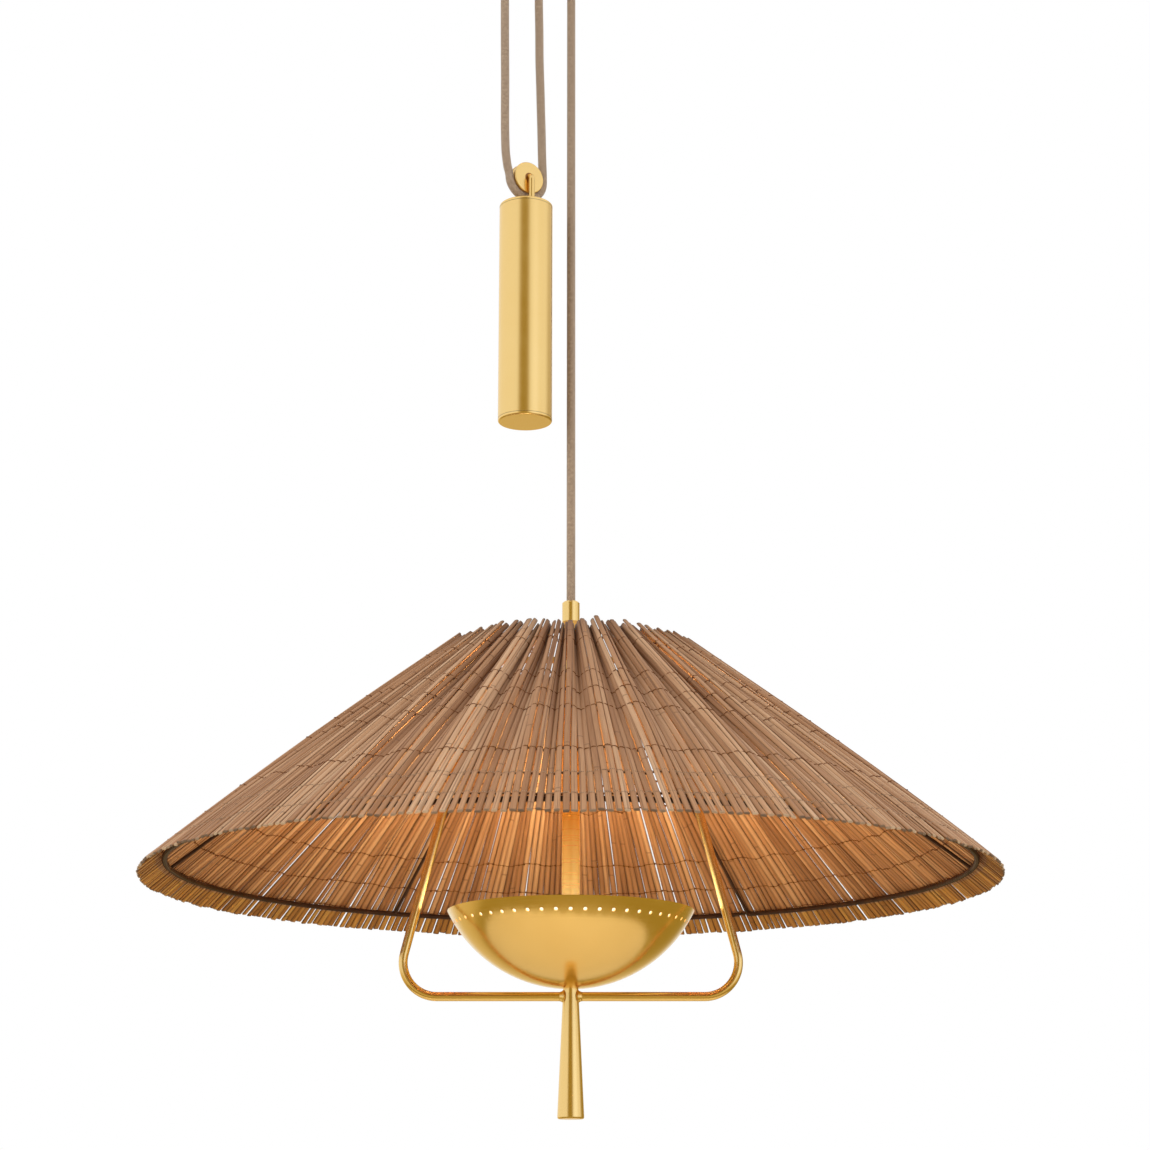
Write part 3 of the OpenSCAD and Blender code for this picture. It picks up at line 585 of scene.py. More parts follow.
def mat_place(u, s):
    """A point of the folded blind, u sticks round and the share s down."""
    a = math.radians(STEP * u)
    out = Vector((math.cos(a) * math.sin(SLOPE), math.sin(a) * math.sin(SLOPE), math.cos(SLOPE)))
    down = max(s, 0.0)
    middle = MIDDLE_BULGE * math.sin(math.pi * min(down, 1.0)) ** MIDDLE_BULGE_BEND
    bulge = middle + TOP_BULGE * (1 - down ** TOP_BULGE_END)
    return top_place(u).lerp(rim_place(u), s) + out * (bulge * MM)


def mat_axes(u, s):
    """Directions at that point: across the stick, along it to the rim, and outwards."""
    run = (rim_place(u) - top_place(u)).normalized()
    across = mat_place(u + NEAR, s) - mat_place(u - NEAR, s)
    across = (across - run * across.dot(run)).normalized()
    return across, run, run.cross(across)


SLANT = (polar(0, RIM_R, SHADE_RIM) - polar(0, RIDGE_R, SHADE_TOP)).length / MM
print("stick length about", round(SLANT), "mm")

# %% [markdown]
# A split stick has a rounded outer face, the bamboo's skin, and a flat inner one. A
# plain box would need fewer points, but would catch the light as a plank does. So the
# section has ten points, with seven spans on the outer face, in shares of the stick's
# width and thickness. How far round each point lies is measured once, on a section of
# 4.8 by 3.2 mm, and kept for all sticks, so that the finish can tell the outer face
# from the inner one.

# %% A stick's section
SECTION = [(-0.5, -0.1), (-0.47, 0.2), (-0.34, 0.42), (-0.13, 0.5), (0.13, 0.5), (0.34, 0.42), (0.47, 0.2),
           (0.5, -0.1), (0.36, -0.42), (-0.36, -0.42)]
OUTER_SPANS, LAY_WIDTH, LAY_THICK = 7, 4.8, 3.2
GIRTH = [0.0]
for (x0, y0), (x1, y1) in zip(SECTION, SECTION[1:] + SECTION[:1]):
    GIRTH.append(GIRTH[-1] + math.hypot((x1 - x0) * LAY_WIDTH, (y1 - y0) * LAY_THICK) * MM)
FACE_M = GIRTH[OUTER_SPANS]
print("outer face", round(FACE_M / MM, 2), "mm of", round(GIRTH[-1] / MM, 2), "mm round the stick")

# %% [markdown]
# Bamboo has long fibres, darker streaks, and a node here and there. The fibres are a
# noise stretched along the stick. Each stick's own number moves it to another part of
# the noise, or every stick would have the same grain, and also sets how pale it is.
# Painted shade darkens the edges of each stick and the valleys of the pleats. The
# tips at the top are dark, and the cut ends at the rim go from grey to pale. Inside,
# the wood is warmer, and in the fringe below the last thread its yellowest tint is
# painted lamplight, where the lamp lights it most.

# %% Bamboo finish
FRINGE = 19


def bamboo_wood(look, u, v, stick):
    """The fibres and streaks, and the wood's own colour with them."""
    fibre = look.noise(look.join(u * 2200.0, v * 22.0, stick * 91.0), 1.0, 4.0, 0.62)
    patch = look.noise(look.join(u * 120.0, v * 11.0, stick * 53.0), 1.0, 2.0)
    streak = look.noise(look.join(u * 700.0, v * 4.0, stick * 17.0), 1.0, 2.0)
    wood = look.ramp(fibre * 0.46 + patch * 0.26 + stick * 0.34,
                     (0.10, tint(104, 64, 38)), (0.32, tint(150, 104, 68)),
                     (0.55, tint(188, 141, 102)), (0.84, tint(226, 188, 150)))
    wood = look.mix((streak > 0.64) * 0.45, wood, tint(88, 54, 30))
    node_line = (v * 4.6 + stick * 7.0).fraction() > 0.991
    return fibre, streak, look.mix(node_line * 0.4, wood, tint(96, 64, 42))


def bamboo_faces(look, u, v, wood):
    """Tints the inner face, paints lamplight on its fringe, and paints shade along the edges of both faces.
    """
    inner_face = u > FACE_M
    outer_edge_shade = (u * (2 / FACE_M) - 1) ** 4
    inner_edge_shade = ((u - FACE_M) * (2 / (GIRTH[-1] - FACE_M)) - 1) ** 2
    wood = look.mix(inner_face, wood, tint(240, 221, 190), "MULTIPLY")
    # Painted lamplight: the inner face below the last thread is tinted yellower, where the lamp lights it
    # most.
    in_fringe = v > (SLANT - FRINGE) * MM
    wood = look.mix(inner_face * in_fringe, wood, tint(255, 250, 178), "MULTIPLY")
    # Painted shade along each stick's edges, where shade falls round its crown and in the gap beside it.
    edge = (1 - inner_face) * outer_edge_shade * 0.68 + inner_face * inner_edge_shade * 0.9
    return look.mix(edge.clamp(), wood, tint(62, 32, 14))


def bamboo_look():
    look = Look("split_bamboo", Roughness=0.5, Specular_IOR_Level=0.32)
    u, v = look.lay()
    stick = look.value("stick")
    fibre, streak, wood = bamboo_wood(look, u, v, stick)
    wood = bamboo_faces(look, u, v, wood)
    # Painted shade in the valleys of the pleats, deepest at the top edge.
    wood = look.mix(look.value("valley") * 0.6, wood, tint(86, 48, 24))
    wood = look.mix(look.value("tip") * 0.6, wood, tint(70, 44, 28))
    cut = look.ramp(stick, (0.25, tint(100, 86, 72)), (0.8, tint(198, 172, 140)))
    look.feed("Base Color", look.mix(look.value("rim_end") * 0.75, wood, cut))
    look.feed("Roughness", 0.45 + fibre * 0.25)
    look.bump(fibre * 0.6 + streak * 0.4, 0.55, 0.0005)
    return look


split_bamboo = bamboo_look()
tell(split_bamboo)

# %% [markdown]
# Daylight comes through the mat between its sticks. In front the gaps are even and can
# be seen as fine dark lines. Behind, where the lit inner face shows, most sticks nearly
# touch, and gaps stand open mainly in a few groups, wider at the stick's foot. Gaps of
# one width would line up with each other from front to back and shimmer, so they are
# drawn by chance.

# %% Gaps between the sticks
FRONT_GAP, CLOSED_GAP = (1.15, 1.8), (0.1, 0.4)
OPEN_GAP, OPEN_FOOT = (0.35, 0.75), (1.2, 2.0)
BACK, FAR_BACK = 0.8, 0.86


def gaps_beside(i):
    """Gaps beside stick i in millimetres, on the wall and at the stick's foot."""
    back = math.sin(math.radians(STEP * (i + 0.5)))
    if back < 0.0:
        return [chance.uniform(*FRONT_GAP)] * 2
    group = math.sin(i * 0.37) + math.sin(i * 0.83 + 2) * 0.8
    often = 0.55 if back > FAR_BACK and group > 0 else 0.15 if back > BACK else 0.05
    if chance.random() < often:
        return chance.uniform(*OPEN_GAP), chance.uniform(*OPEN_FOOT)
    return [chance.uniform(*CLOSED_GAP)] * 2


print("gaps in front", FRONT_GAP, "mm, behind", CLOSED_GAP, "or", OPEN_GAP, "mm")

# %% [markdown]
# Split bamboo is never even. Each stick has its own thickness, tone, bow, tilt and
# ends, all within small limits, in millimetres, in radians for the tilt and in shares
# of the length for the ends. One stick with many copies would be lighter for Blender,
# but the eye finds the repeat at once. A stick is a stack of twelve sections, close
# together at its ends, where the tip and the cut need them.

# %% Make the sticks
STATIONS = [0, 0.012, 0.1, 0.22, 0.35, 0.48, 0.6, 0.72, 0.84, 0.93, 0.996, 1.0]
TIP_SHARE = [1.0, 0.55] + [0.0] * (len(STATIONS) - 2)
CUT_SHARE = [0.0] * (len(STATIONS) - 1) + [1.0]
THICK, HEAD, FOOT = (2.0, 2.5), (-0.006, 0.010), (-0.0025, 0.0015)
BOW, LIFT, ROLL = (-0.6, 0.6), (-0.6, 0.6), (-0.2, 0.2)
PALE_SHARE, PALEST, DARKEST = 0.86, 0.98, 0.3
SPACING, TOP_WIDTH = RIM_R * math.radians(STEP), 4.6
FOOT_FROM, END_WIDTH = 0.95, 0.94
BOW_SHARE, SWAY, RIPPLE, NARROWING = 0.6, 0.25, 0.15, 0.03
SWAY_TURN, RIPPLE_TURN, NARROWING_TURN = 9, 7, 6
sticks = Build()


def lay_stick(i):
    """Draws stick i's own measures and lays its rings. Gives its thickness and lift."""
    u = i + 0.5 + chance.uniform(-0.04, 0.04)
    gap, foot_gap = gaps_beside(i)
    thick = chance.uniform(*THICK)
    tone = chance.random() * (PALEST if chance.random() < PALE_SHARE else DARKEST)
    head, foot = chance.uniform(*HEAD), chance.uniform(*FOOT)
    bow = chance.uniform(*BOW)
    wave = chance.uniform(0, 2 * math.pi)
    lift, roll = chance.uniform(*LIFT), chance.uniform(*ROLL)
    rings, along = [], []
    for s0 in STATIONS:
        s = head + (1 + foot - head) * s0
        flat, _, square = mat_axes(u, s)
        across = flat * math.cos(roll) + square * math.sin(roll)
        out = square * math.cos(roll) - flat * math.sin(roll)
        aside = bow * math.sin(math.pi * s0) * BOW_SHARE + SWAY * math.sin(SWAY_TURN * s0 + wave)
        away = lift + RIPPLE * math.sin(RIPPLE_TURN * s0 + wave)
        centre = mat_place(u, s) + across * (aside * MM) + out * (away * MM)
        width = TOP_WIDTH * (1 - s) + (SPACING - gap) * s
        width *= 1 - NARROWING * math.sin(NARROWING_TURN * s0 + wave)
        if s0 > FOOT_FROM:
            width -= foot_gap - gap
        if s0 in (0, 1):
            width *= END_WIDTH
        rings.append([centre + across * (a * width * MM) + out * (b * thick * MM) for a, b in SECTION])
        along.append(s * SLANT * MM)
    # How deep each section lies in a pleat's valley, which sets the painted shade there.
    valley = [sunk_share(u) * (1 - s0) for s0 in STATIONS]
    sticks.ring_stack(rings, GIRTH, along, stick=[tone] * len(STATIONS), tip=TIP_SHARE, rim_end=CUT_SHARE,
                      valley=valley)
    return thick, lift


stick_thick, stick_lift = zip(*[lay_stick(i) for i in range(STICKS)])
bamboo_sticks = sticks.piece("bamboo_sticks", split_bamboo, "lamp", "bamboo")
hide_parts("shade_mat")

# %% [markdown]
# Cotton thread is two plies twisted together, and it is matt. The twist could be
# modelled with two thin tubes, but the thread is under a millimetre thick, so a sine
# that runs slantwise over the lay stands for it, in the bump and as painted shade in the
# grooves between the plies. The outer threads near the rim are bleached pale, and all
# the others are dark brown.


# %% Thread finish
def thread_look(name, dark, light):
    look = Look(name, Roughness=0.85, Specular_IOR_Level=0.2)
    u, v = look.lay()
    ply = (u * 3200.0 + v * 4200.0).sine() * 0.5 + 0.5
    fleck = look.noise(look.join(u * 900.0, v * 260.0, 0.0), 1.0)
    # Where the ply sine is low, in the grooves between the plies, the colour is darker: painted shade,
    # mixed with the thread's own fleck.
    look.feed("Base Color", look.ramp(ply * 0.5 + fleck * 0.5, (0.2, dark), (0.8, light)))
    look.bump(ply, 0.4, 0.0002)
    return look


dark_thread = thread_look("dark_thread", tint(70, 38, 18), tint(134, 84, 48))
pale_thread = thread_look("pale_thread", tint(112, 78, 52), tint(194, 164, 134))
tell(dark_thread, pale_thread)

# %% [markdown]
# Seven rows of thread bind the blind. In each row one thread passes outside every stick
# and one inside, and they meet in each gap, where there is a small knot on the inside.
# A flat ring round the shade would be simpler, but it would cut through the pleats, so
# the threads take their way from the same two functions as the sticks, and lie on
# them. The rows are measured up the slope from the rim, and wander a little from stick
# to stick.

# %% Rows of thread
THREAD_ROWS = [26.7, 59, 98, 172, 204, 238, 307]
PALE_BELOW, PALE_R, DARK_R, THREAD_SIDES = 80, 0.36, 0.414, 4
OVER_STICK = [(0.0, 0.0), (0.2, 0.8), (0.5, 1.0), (0.8, 0.8)]
ON_FACE, IN_GAP, GAP_DROP = 0.2, 0.1, 0.5
KNOT_RINGS, KNOT_SIDES, KNOT_IN = [(-0.8, 0.5), (0.0, 1.15), (0.7, 0.45)], 6, 0.9


def thread_line(s, stray, side):
    """A thread's points outside (1) or inside (-1) the sticks, at the share s down."""
    line, ups = [], []
    for i in range(STICKS):
        for part, share in OVER_STICK:
            _, run, out = mat_axes(i + part, s)
            face = stick_thick[i] * 0.5 + side * stick_lift[i] + ON_FACE
            away = (share * face + (1 - share) * IN_GAP) * side
            sway = stray[i] if share else (stray[i] + stray[i - 1]) / 2 + GAP_DROP
            line.append(mat_place(i + part, s) + out * (away * MM) + run * (sway * MM))
            ups.append(out)
    return line, ups


def tie_knot(build, i, s, stray):
    """A small round knot on the inside of the gap before stick i."""
    across, run, out = mat_axes(i, s)
    size = chance.uniform(0.7, 1.15)
    hub = mat_place(i, s) - out * (KNOT_IN * MM) + run * (((stray[i] + stray[i - 1]) / 2 + GAP_DROP) * MM)
    rings = []
    for height, r in KNOT_RINGS:
        middle = hub + out * (height * size * MM)
        arms = [run * math.cos(t) + across * math.sin(t) for t in circle(KNOT_SIDES)]
        rings.append([middle + arm * (r * size * MM) for arm in arms])
    build.ring_stack(rings, [0.0004 * j for j in range(KNOT_SIDES + 1)], [0, 0.0006, 0.0012])


pale_rows, dark_rows, knots = Build(), Build(), Build()
for row in THREAD_ROWS:
    s = 1 - row / SLANT
    stray = [chance.uniform(-0.7, 0.7) + 1.2 * math.sin(i * 0.21 + row) for i in range(STICKS)]
    for side in (1, -1):
        pale = side > 0 and row < PALE_BELOW
        rows, thread_r = (pale_rows, PALE_R) if pale else (dark_rows, DARK_R)
        line, ups = thread_line(s, stray, side)
        tube(rows, line, thread_r * MM, THREAD_SIDES, ups, closed=True)
    for i in range(STICKS):
        tie_knot(knots, i, s, stray)
pale_rows.piece("rim_threads", pale_thread, "lamp", "bamboo")
dark_rows.piece("binding_threads", dark_thread, "lamp", "bamboo")
knots.piece("binding_knots", dark_thread, "lamp", "bamboo")

# %% [markdown]
# The wire frame inside the mat is lacquered dark brown. Its lower hoop is sewn to the
# mat by a thread that winds round the wire, a turn for each stick. A straight coil
# could be bent round by a modifier, but a formula closes it exactly. The hoop's place
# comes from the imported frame's own box, whose lowest and widest part the hoop is.

# %% Hoop binding
HOOP_WIRE_R, COIL_R, COIL_THREAD_R, COIL_STEPS = 2.25, 2.35, 0.28, 7
hoop_thread = thread_look("hoop_thread", tint(44, 23, 10), tint(92, 56, 29))
low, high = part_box("shade_wire_frame")
hoop_r = ((high[0] - low[0]) / 2 - HOOP_WIRE_R * MM) / MM
hoop_z = (low[2] + HOOP_WIRE_R * MM) / MM
line, ups = [], []
for k in range(STICKS * COIL_STEPS):
    a = 360 * k / (STICKS * COIL_STEPS)
    t = 2 * math.pi * k / COIL_STEPS
    core = polar(a, hoop_r, hoop_z)
    out = (polar(a, hoop_r + 1, hoop_z) - core).normalized()
    arm = out * math.cos(t) + UP * math.sin(t)
    line.append(core + arm * (COIL_R * MM))
    ups.append(arm)
binding = Build()
tube(binding, line, COIL_THREAD_R * MM, THREAD_SIDES, ups, closed=True)
binding.piece("hoop_binding", hoop_thread, "lamp", "dark_wire")
print("hoop", round(hoop_r, 2), "mm in radius, a turn every", round(2 * math.pi * hoop_r / STICKS, 2), "mm")

# %% [markdown]
# The brass is lacquered and satin. Turned and spun pieces carry fine rings round their
# axis. They could be cut into the mesh, but they are far too fine for that, so they
# change only the roughness and the bump. A slow mottling of the colour keeps the metal
# from looking like plastic. One recipe serves all the brass, with the ring's direction,
# fineness and strength as its choices: level rings for upright pieces, and rings round
# the axle for the pulleys.


# %% Brass finish
def brass_look(name, tones, rough, rings=None, ring_scale=900.0, lines=0.05):
    look = Look(name, Metallic=1.0)
    place = look.place()
    x, y, z = look.parts(place)
    mottle = look.noise(place, 9.0, 3.0)
    wear = look.noise(place, 55.0, 4.0, 0.6)
    look.feed("Base Color", look.mix(mottle * 0.6 + wear * 0.4, *tones))
    if rings == "level":
        fine = look.noise(look.join(0.0, 0.0, z * ring_scale), 1.0, 3.0)
    elif rings == "axle":
        along_axle = y * math.cos(YAW) - x * math.sin(YAW)
        fine = look.noise(look.join(0.0, 0.0, along_axle * ring_scale), 1.0, 3.0)
    else:
        fine = look.noise(place, 420.0, 3.0)
    look.feed("Roughness", rough + (fine - 0.5) * 0.16 + (wear - 0.5) * 0.1)
    look.bump(fine, lines, 0.0003)
    return look


GOLD = (tint(245, 207, 132), tint(251, 219, 150))
DRAWN_GOLD = (tint(242, 204, 130), tint(248, 216, 148))
BRONZE = (tint(140, 92, 50), tint(176, 126, 74))
satin_brass = brass_look("satin_brass", GOLD, 0.24)
turned_brass = brass_look("turned_brass", GOLD, 0.22, "level", 1400.0, 0.02)
spun_brass = brass_look("spun_brass", GOLD, 0.18, "level", 700.0, 0.012)
pulley_brass = brass_look("pulley_brass", GOLD, 0.24, "axle", 1500.0, 0.04)
drawn_brass = brass_look("drawn_brass", DRAWN_GOLD, 0.22)
bronze = brass_look("bearing_bronze", BRONZE, 0.32, "axle")
tell(satin_brass, turned_brass, spun_brass, pulley_brass, drawn_brass, bronze)

# %% [markdown]
# Three plain finishes of metal are left. The hidden steel is zinc plated and shows
# zinc's faint crystals, for which a texture of cells is a better likeness than noise.
# The weight is filled with cast lead, dull and pitted. The wire frame has brown
# lacquer, a little uneven where it ran.


# %% Steel, lead and lacquer finishes
def zinc_look():
    look = Look("zinc_plate", Metallic=1.0)
    cells = {"Vector": look.place(), "Scale": 260.0}
    cell = look.node("ShaderNodeTexVoronoi", {"feature": "F1"}, cells, "Color")
    shade, _, _ = look.parts(cell)
    look.feed("Base Color", look.ramp(shade, (0.0, tint(168, 170, 172)), (1.0, tint(200, 202, 204))))
    look.feed("Roughness", 0.3 + shade * 0.16)
    return look


def lead_look():
    look = Look("cast_lead", Metallic=0.9)
    pit = look.noise(look.place(), 160.0, 5.0, 0.7)
    look.two_tones(pit, tint(88, 90, 94), tint(132, 134, 138))
    look.feed("Roughness", 0.5 + pit * 0.3)
    look.bump(pit, 0.5, 0.0008)
    return look


def lacquer_look():
    look = Look("brown_lacquer", Roughness=0.5, Specular_IOR_Level=0.25)
    drip = look.noise(look.place(), 120.0, 3.0)
    look.two_tones(drip, tint(38, 20, 9), tint(64, 36, 17))
    look.bump(drip, 0.2, 0.0004)
    return look


zinc_plate, cast_lead, brown_lacquer = zinc_look(), lead_look(), lacquer_look()
tell(zinc_plate, cast_lead, brown_lacquer)

# %% [markdown]
# The lamp is lit. The bulbs glow, the bowl's white inside throws the light up, and the
# brass stem shows it, pale yellow beside the bulbs and deep orange high up. Lights
# alone could do this here, but a finish goes with the model wherever it is used. So the
# glow is written into the finishes, over heights measured in metres below the ceiling,
# and the lights further on only carry it to the mat.

# %% Glowing finishes
BULB_FOOT, BULB_TALL = -1.0, 0.036
GLOW_FOOT, GLOW_TALL = -0.975, 0.235


def bulb_look():
    look = Look("lit_glass", Roughness=0.25, Emission_Strength=4.0)
    _, _, z = look.parts(look.place())
    height = ((z - BULB_FOOT) / BULB_TALL).clamp()
    look.feed("Base Color", look.ramp(height, (0.0, tint(255, 236, 200)), (1.0, tint(255, 250, 236))))
    look.feed("Emission Color", look.ramp(height, (0.0, tint(255, 214, 150)), (0.5, tint(255, 244, 220)),
                                          (1.0, tint(255, 234, 190))))
    return look


def stem_look():
    look = Look("lit_stem", Metallic=1.0, Emission_Strength=0.4)
    _, _, z = look.parts(look.place())
    fine = look.noise(look.join(0.0, 0.0, z * 1200.0), 1.0, 3.0)
    height = ((z - GLOW_FOOT) / GLOW_TALL).clamp()
    # The stem is no lamp: its glow, and its colour that darkens higher up, are painted lamplight from the
    # bulbs and the bowl's white inside.
    look.feed("Base Color", look.ramp(height, (0.0, tint(246, 206, 120)), (1.0, tint(214, 158, 78))))
    look.feed("Emission Color", look.ramp(height, (0.0, tint(255, 232, 160)), (0.16, tint(255, 208, 116)),
                                          (0.38, tint(196, 116, 34)), (0.75, tint(96, 46, 10)),
                                          (1.0, tint(16, 7, 2))))
    look.feed("Roughness", 0.28 + (fine - 0.5) * 0.06)
    look.bump(fine, 0.01, 0.0002)
    return look


def enamel_look():
    look = Look("white_enamel", Roughness=0.4, Emission_Strength=0.9)
    grain = look.noise(look.place(), 600.0, 2.0)
    look.two_tones(grain, tint(240, 234, 220), tint(250, 246, 236))
    # The reflector is no lamp: its glow is painted lamplight, standing for the bulbs' light that it throws
    # back.
    look.two_tones(grain, tint(255, 238, 205), tint(255, 246, 222), "Emission Color")
    look.bump(grain, 0.1, 0.0002)
    return look


lit_glass, lit_stem, white_enamel = bulb_look(), stem_look(), enamel_look()
tell(lit_glass, lit_stem, white_enamel)

# %% [markdown]
# Lampholders are glazed ceramic, the terminal block and the leads' insulation are
# moulded. All of them are smooth, slightly cloudy solids, and one recipe with a
# colour and a roughness is enough. Plain colours would do in a dim canopy, but the
# faint cloud and dimples keep them from looking drawn.


# %% Ceramic and moulded finishes
def glazed_look(name, light, dark, rough):
    look = Look(name)
    place = look.place()
    cloud = look.noise(place, 90.0, 4.0)
    look.two_tones(cloud, dark, light)
    look.feed("Roughness", rough + (cloud - 0.5) * 0.15)
    look.bump(look.noise(place, 700.0, 2.0), 0.12, 0.0002)
    return look


ceramic = glazed_look("glazed_ceramic", tint(244, 240, 230), tint(228, 222, 208), 0.3)
moulded = glazed_look("moulded_block", tint(226, 220, 206), tint(208, 200, 184), 0.5)
insulation_brown = glazed_look("brown_insulation", tint(110, 70, 44), tint(90, 54, 34), 0.42)
insulation_blue = glazed_look("blue_insulation", tint(58, 92, 150), tint(44, 74, 128), 0.42)
insulation_green = glazed_look("green_insulation", tint(96, 150, 70), tint(78, 128, 54), 0.42)
tell(ceramic, moulded, insulation_brown, insulation_blue, insulation_green)

# %% [markdown]
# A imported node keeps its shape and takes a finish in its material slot. It could be
# copied and the copy dressed, but then there would be two shapes to keep alike. Nodes
# with a finish of their own are named one by one, families share the start of a name,
# and what is left is plated steel.

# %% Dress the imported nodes
DRESS = {
    "canopy": spun_brass, "bowl": spun_brass, "side_frame": drawn_brass, "stem": lit_stem,
    "handle": turned_brass, "weight_tube": turned_brass, "weight_cap": turned_brass,
    "weight_base": turned_brass, "cord_anchor": turned_brass, "cord_grip": turned_brass,
    "stem_collar": turned_brass, "stem_foot": turned_brass, "ceiling_pulley": pulley_brass,
    "weight_pulley": pulley_brass, "ceiling_axle": pulley_brass, "axle_nut": pulley_brass,
    "ceiling_bush": bronze, "weight_bush": bronze, "pulley_fork": satin_brass,
    "stirrup": drawn_brass, "spider": satin_brass, "weight_slug": cast_lead,
    "shade_wire_frame": brown_lacquer, "terminal_block": moulded, "shade_mat": split_bamboo,
}
FAMILIES = {
    "bulb": lit_glass, "lampholder": ceramic, "dome_nut": satin_brass,
    "frame_nut": satin_brass, "cord_": woven_sleeve,
}


def look_for(name):
    for start, look in FAMILIES.items():
        if name.startswith(start) and name not in DRESS:
            return look
    return DRESS.get(name, zinc_plate)


for name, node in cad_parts.items():
    node.data.materials.clear()
    node.data.materials.append(look_for(name).material)
print("dressed", len(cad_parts), "nodes")

# %% [markdown]
# Inside the bowl is a white enamelled reflector, a thin shell that shows through the
# holes of the bowl and stops the light where brass would swallow it. A half sphere with
# a thickness modifier would do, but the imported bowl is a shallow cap. Its width and
# depth give the sphere that it is cut from, and the reflector is spun from that
# sphere's own arcs, a little further in.


# %% Bowl reflector
def spin(build, profile, centre, axis, side, steps):
    """Spins a closed outline of (radius, height) in millimetres round an axis."""
    other = axis.cross(side)
    rings = []
    for t in circle(steps):
        arm = side * math.cos(t) + other * math.sin(t)
        rings.append([centre + arm * (r * MM) + axis * (h * MM) for r, h in profile])
    girth = [0.0]
    for (r0, h0), (r1, h1) in zip(profile, profile[1:] + profile[:1]):
        girth.append(girth[-1] + math.hypot(r0 - r1, h0 - h1) * MM)
    along = [2 * math.pi * k / steps * profile[0][0] * MM for k in range(steps + 1)]
    build.ring_stack(rings, girth, along, closed=True)


BOWL_FLAT, LINER_OUT, LINER_IN = 0.2, 1.35, 1.75
LEVELS, LEVEL_STEP, BELOW_RIM = 24, 2.0, 3
low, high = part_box("bowl")
bowl_rim_z, bowl_rim_r = high[2] / MM, (high[0] - low[0]) / 2 / MM
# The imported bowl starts 0.2 mm above the foot of its sphere.
bowl_depth = bowl_rim_z - low[2] / MM + BOWL_FLAT
sphere_r = (bowl_rim_r ** 2 + bowl_depth ** 2) / (2 * bowl_depth)
sphere_z = bowl_rim_z - bowl_depth + sphere_r
levels = [bowl_rim_z - BELOW_RIM - k * LEVEL_STEP for k in range(LEVELS)]


def arc(inset, heights):
    """Points of the bowl's sphere, drawn in by an inset, at given heights."""
    return [(math.sqrt((sphere_r - inset) ** 2 - (sphere_z - z) ** 2), z) for z in heights]


reflector = Build()
spin(reflector, arc(LINER_OUT, levels) + arc(LINER_IN, reversed(levels)), LAMP, UP, Vector((1, 0, 0)), 128)
reflector.piece("bowl_reflector", white_enamel, "lamp", "holder_white")
print("bowl cut from a sphere of", round(sphere_r, 1), "mm radius")

# %% [markdown]
# The side frame's lower bar is brazed into the handle, with a small fillet of metal on
# each side. A bevel on the joint would need both solids to be one. A ring with a hollow
# quarter-round profile lies over the joint and leaves them apart.

# %% Fillets on the bar
ROD_R = 4
FILLET = [(4.0, 5.9), (6.4, 6.2), (5.6, 6.8), (4.9, 7.6), (4.4, 8.6), (4.02, 10.0), (3.9, 10.0), (3.9, 5.9)]
bar_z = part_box("side_frame")[0][2] / MM + ROD_R
braze = Build()
for side in (1, -1):
    spin(braze, FILLET, LAMP + UP * (bar_z * MM), Vector((side, 0, 0)), UP, 40)
braze.piece("bar_braze", satin_brass, "lamp", "brass")

# %% [markdown]
# Where the weight's cap and base meet its tube, the seam shows a dark hairline of shade.
# It could be painted in the brass by its height, but then it would have no edge of its
# own under other light. A thin dark ring that stands 0.03 mm proud paints that shade.

# %% Seams of the weight
TUBE_R, SEAM_IN, SEAM_OUT, SEAM_HALF = 25, 0.1, 0.03, 0.16
SEAM_HEIGHTS = [-311, -520]
# The seam ring's dark colour is painted shade in the joint.
seam_shade = Look("seam_shadow", Roughness=0.7)
seam_shade.two_tones(seam_shade.noise(seam_shade.place(), 300.0), tint(70, 50, 22), tint(110, 82, 38))
seams = Build()
for z in SEAM_HEIGHTS:
    inside, outside = TUBE_R - SEAM_IN, TUBE_R + SEAM_OUT
    under, over = z - SEAM_HALF, z + SEAM_HALF
    ring = [(inside, under), (outside, under), (outside, over), (inside, over)]
    spin(seams, ring, WEIGHT, UP, Vector((1, 0, 0)), 96)
seams.piece("weight_seams", seam_shade, "counterweight", "brass")

# %% [markdown]
# A few leads make the electrics whole: three cores from the cord's end into the
# terminal block in the canopy, and one lead from the stem to each lampholder. Bevelled
# curves are the usual way to make wires. The tube function is already here and gives
# them the same lay as the cord, so a few points and a smooth line are enough.

# %% Leads
CORE_R, LEAD_R, LEAD_STEPS, LEAD_SIDES = 1.1, 1.2, 8, 8
CORE_STEP = 3.2
CORE_PATH = [(-38, -18, 0.5), (-36.5, -12.5, 1), (-30.2, -10, 1.5)]
CORES = {"core_live": insulation_brown, "core_neutral": insulation_blue, "core_earth": insulation_green}
for k, (name, look) in enumerate(CORES.items()):
    shift = (k - 1) * CORE_STEP
    points = [in_cord_plane(w, z) + ACROSS * (shift * spread * MM) for w, z, spread in CORE_PATH]
    core = Build()
    tube(core, smooth_line(points, LEAD_STEPS), CORE_R * MM, LEAD_SIDES, ACROSS + ALONG * 0.1)
    core.piece(name, look, "ceiling_fitting", "terminal_plastic")

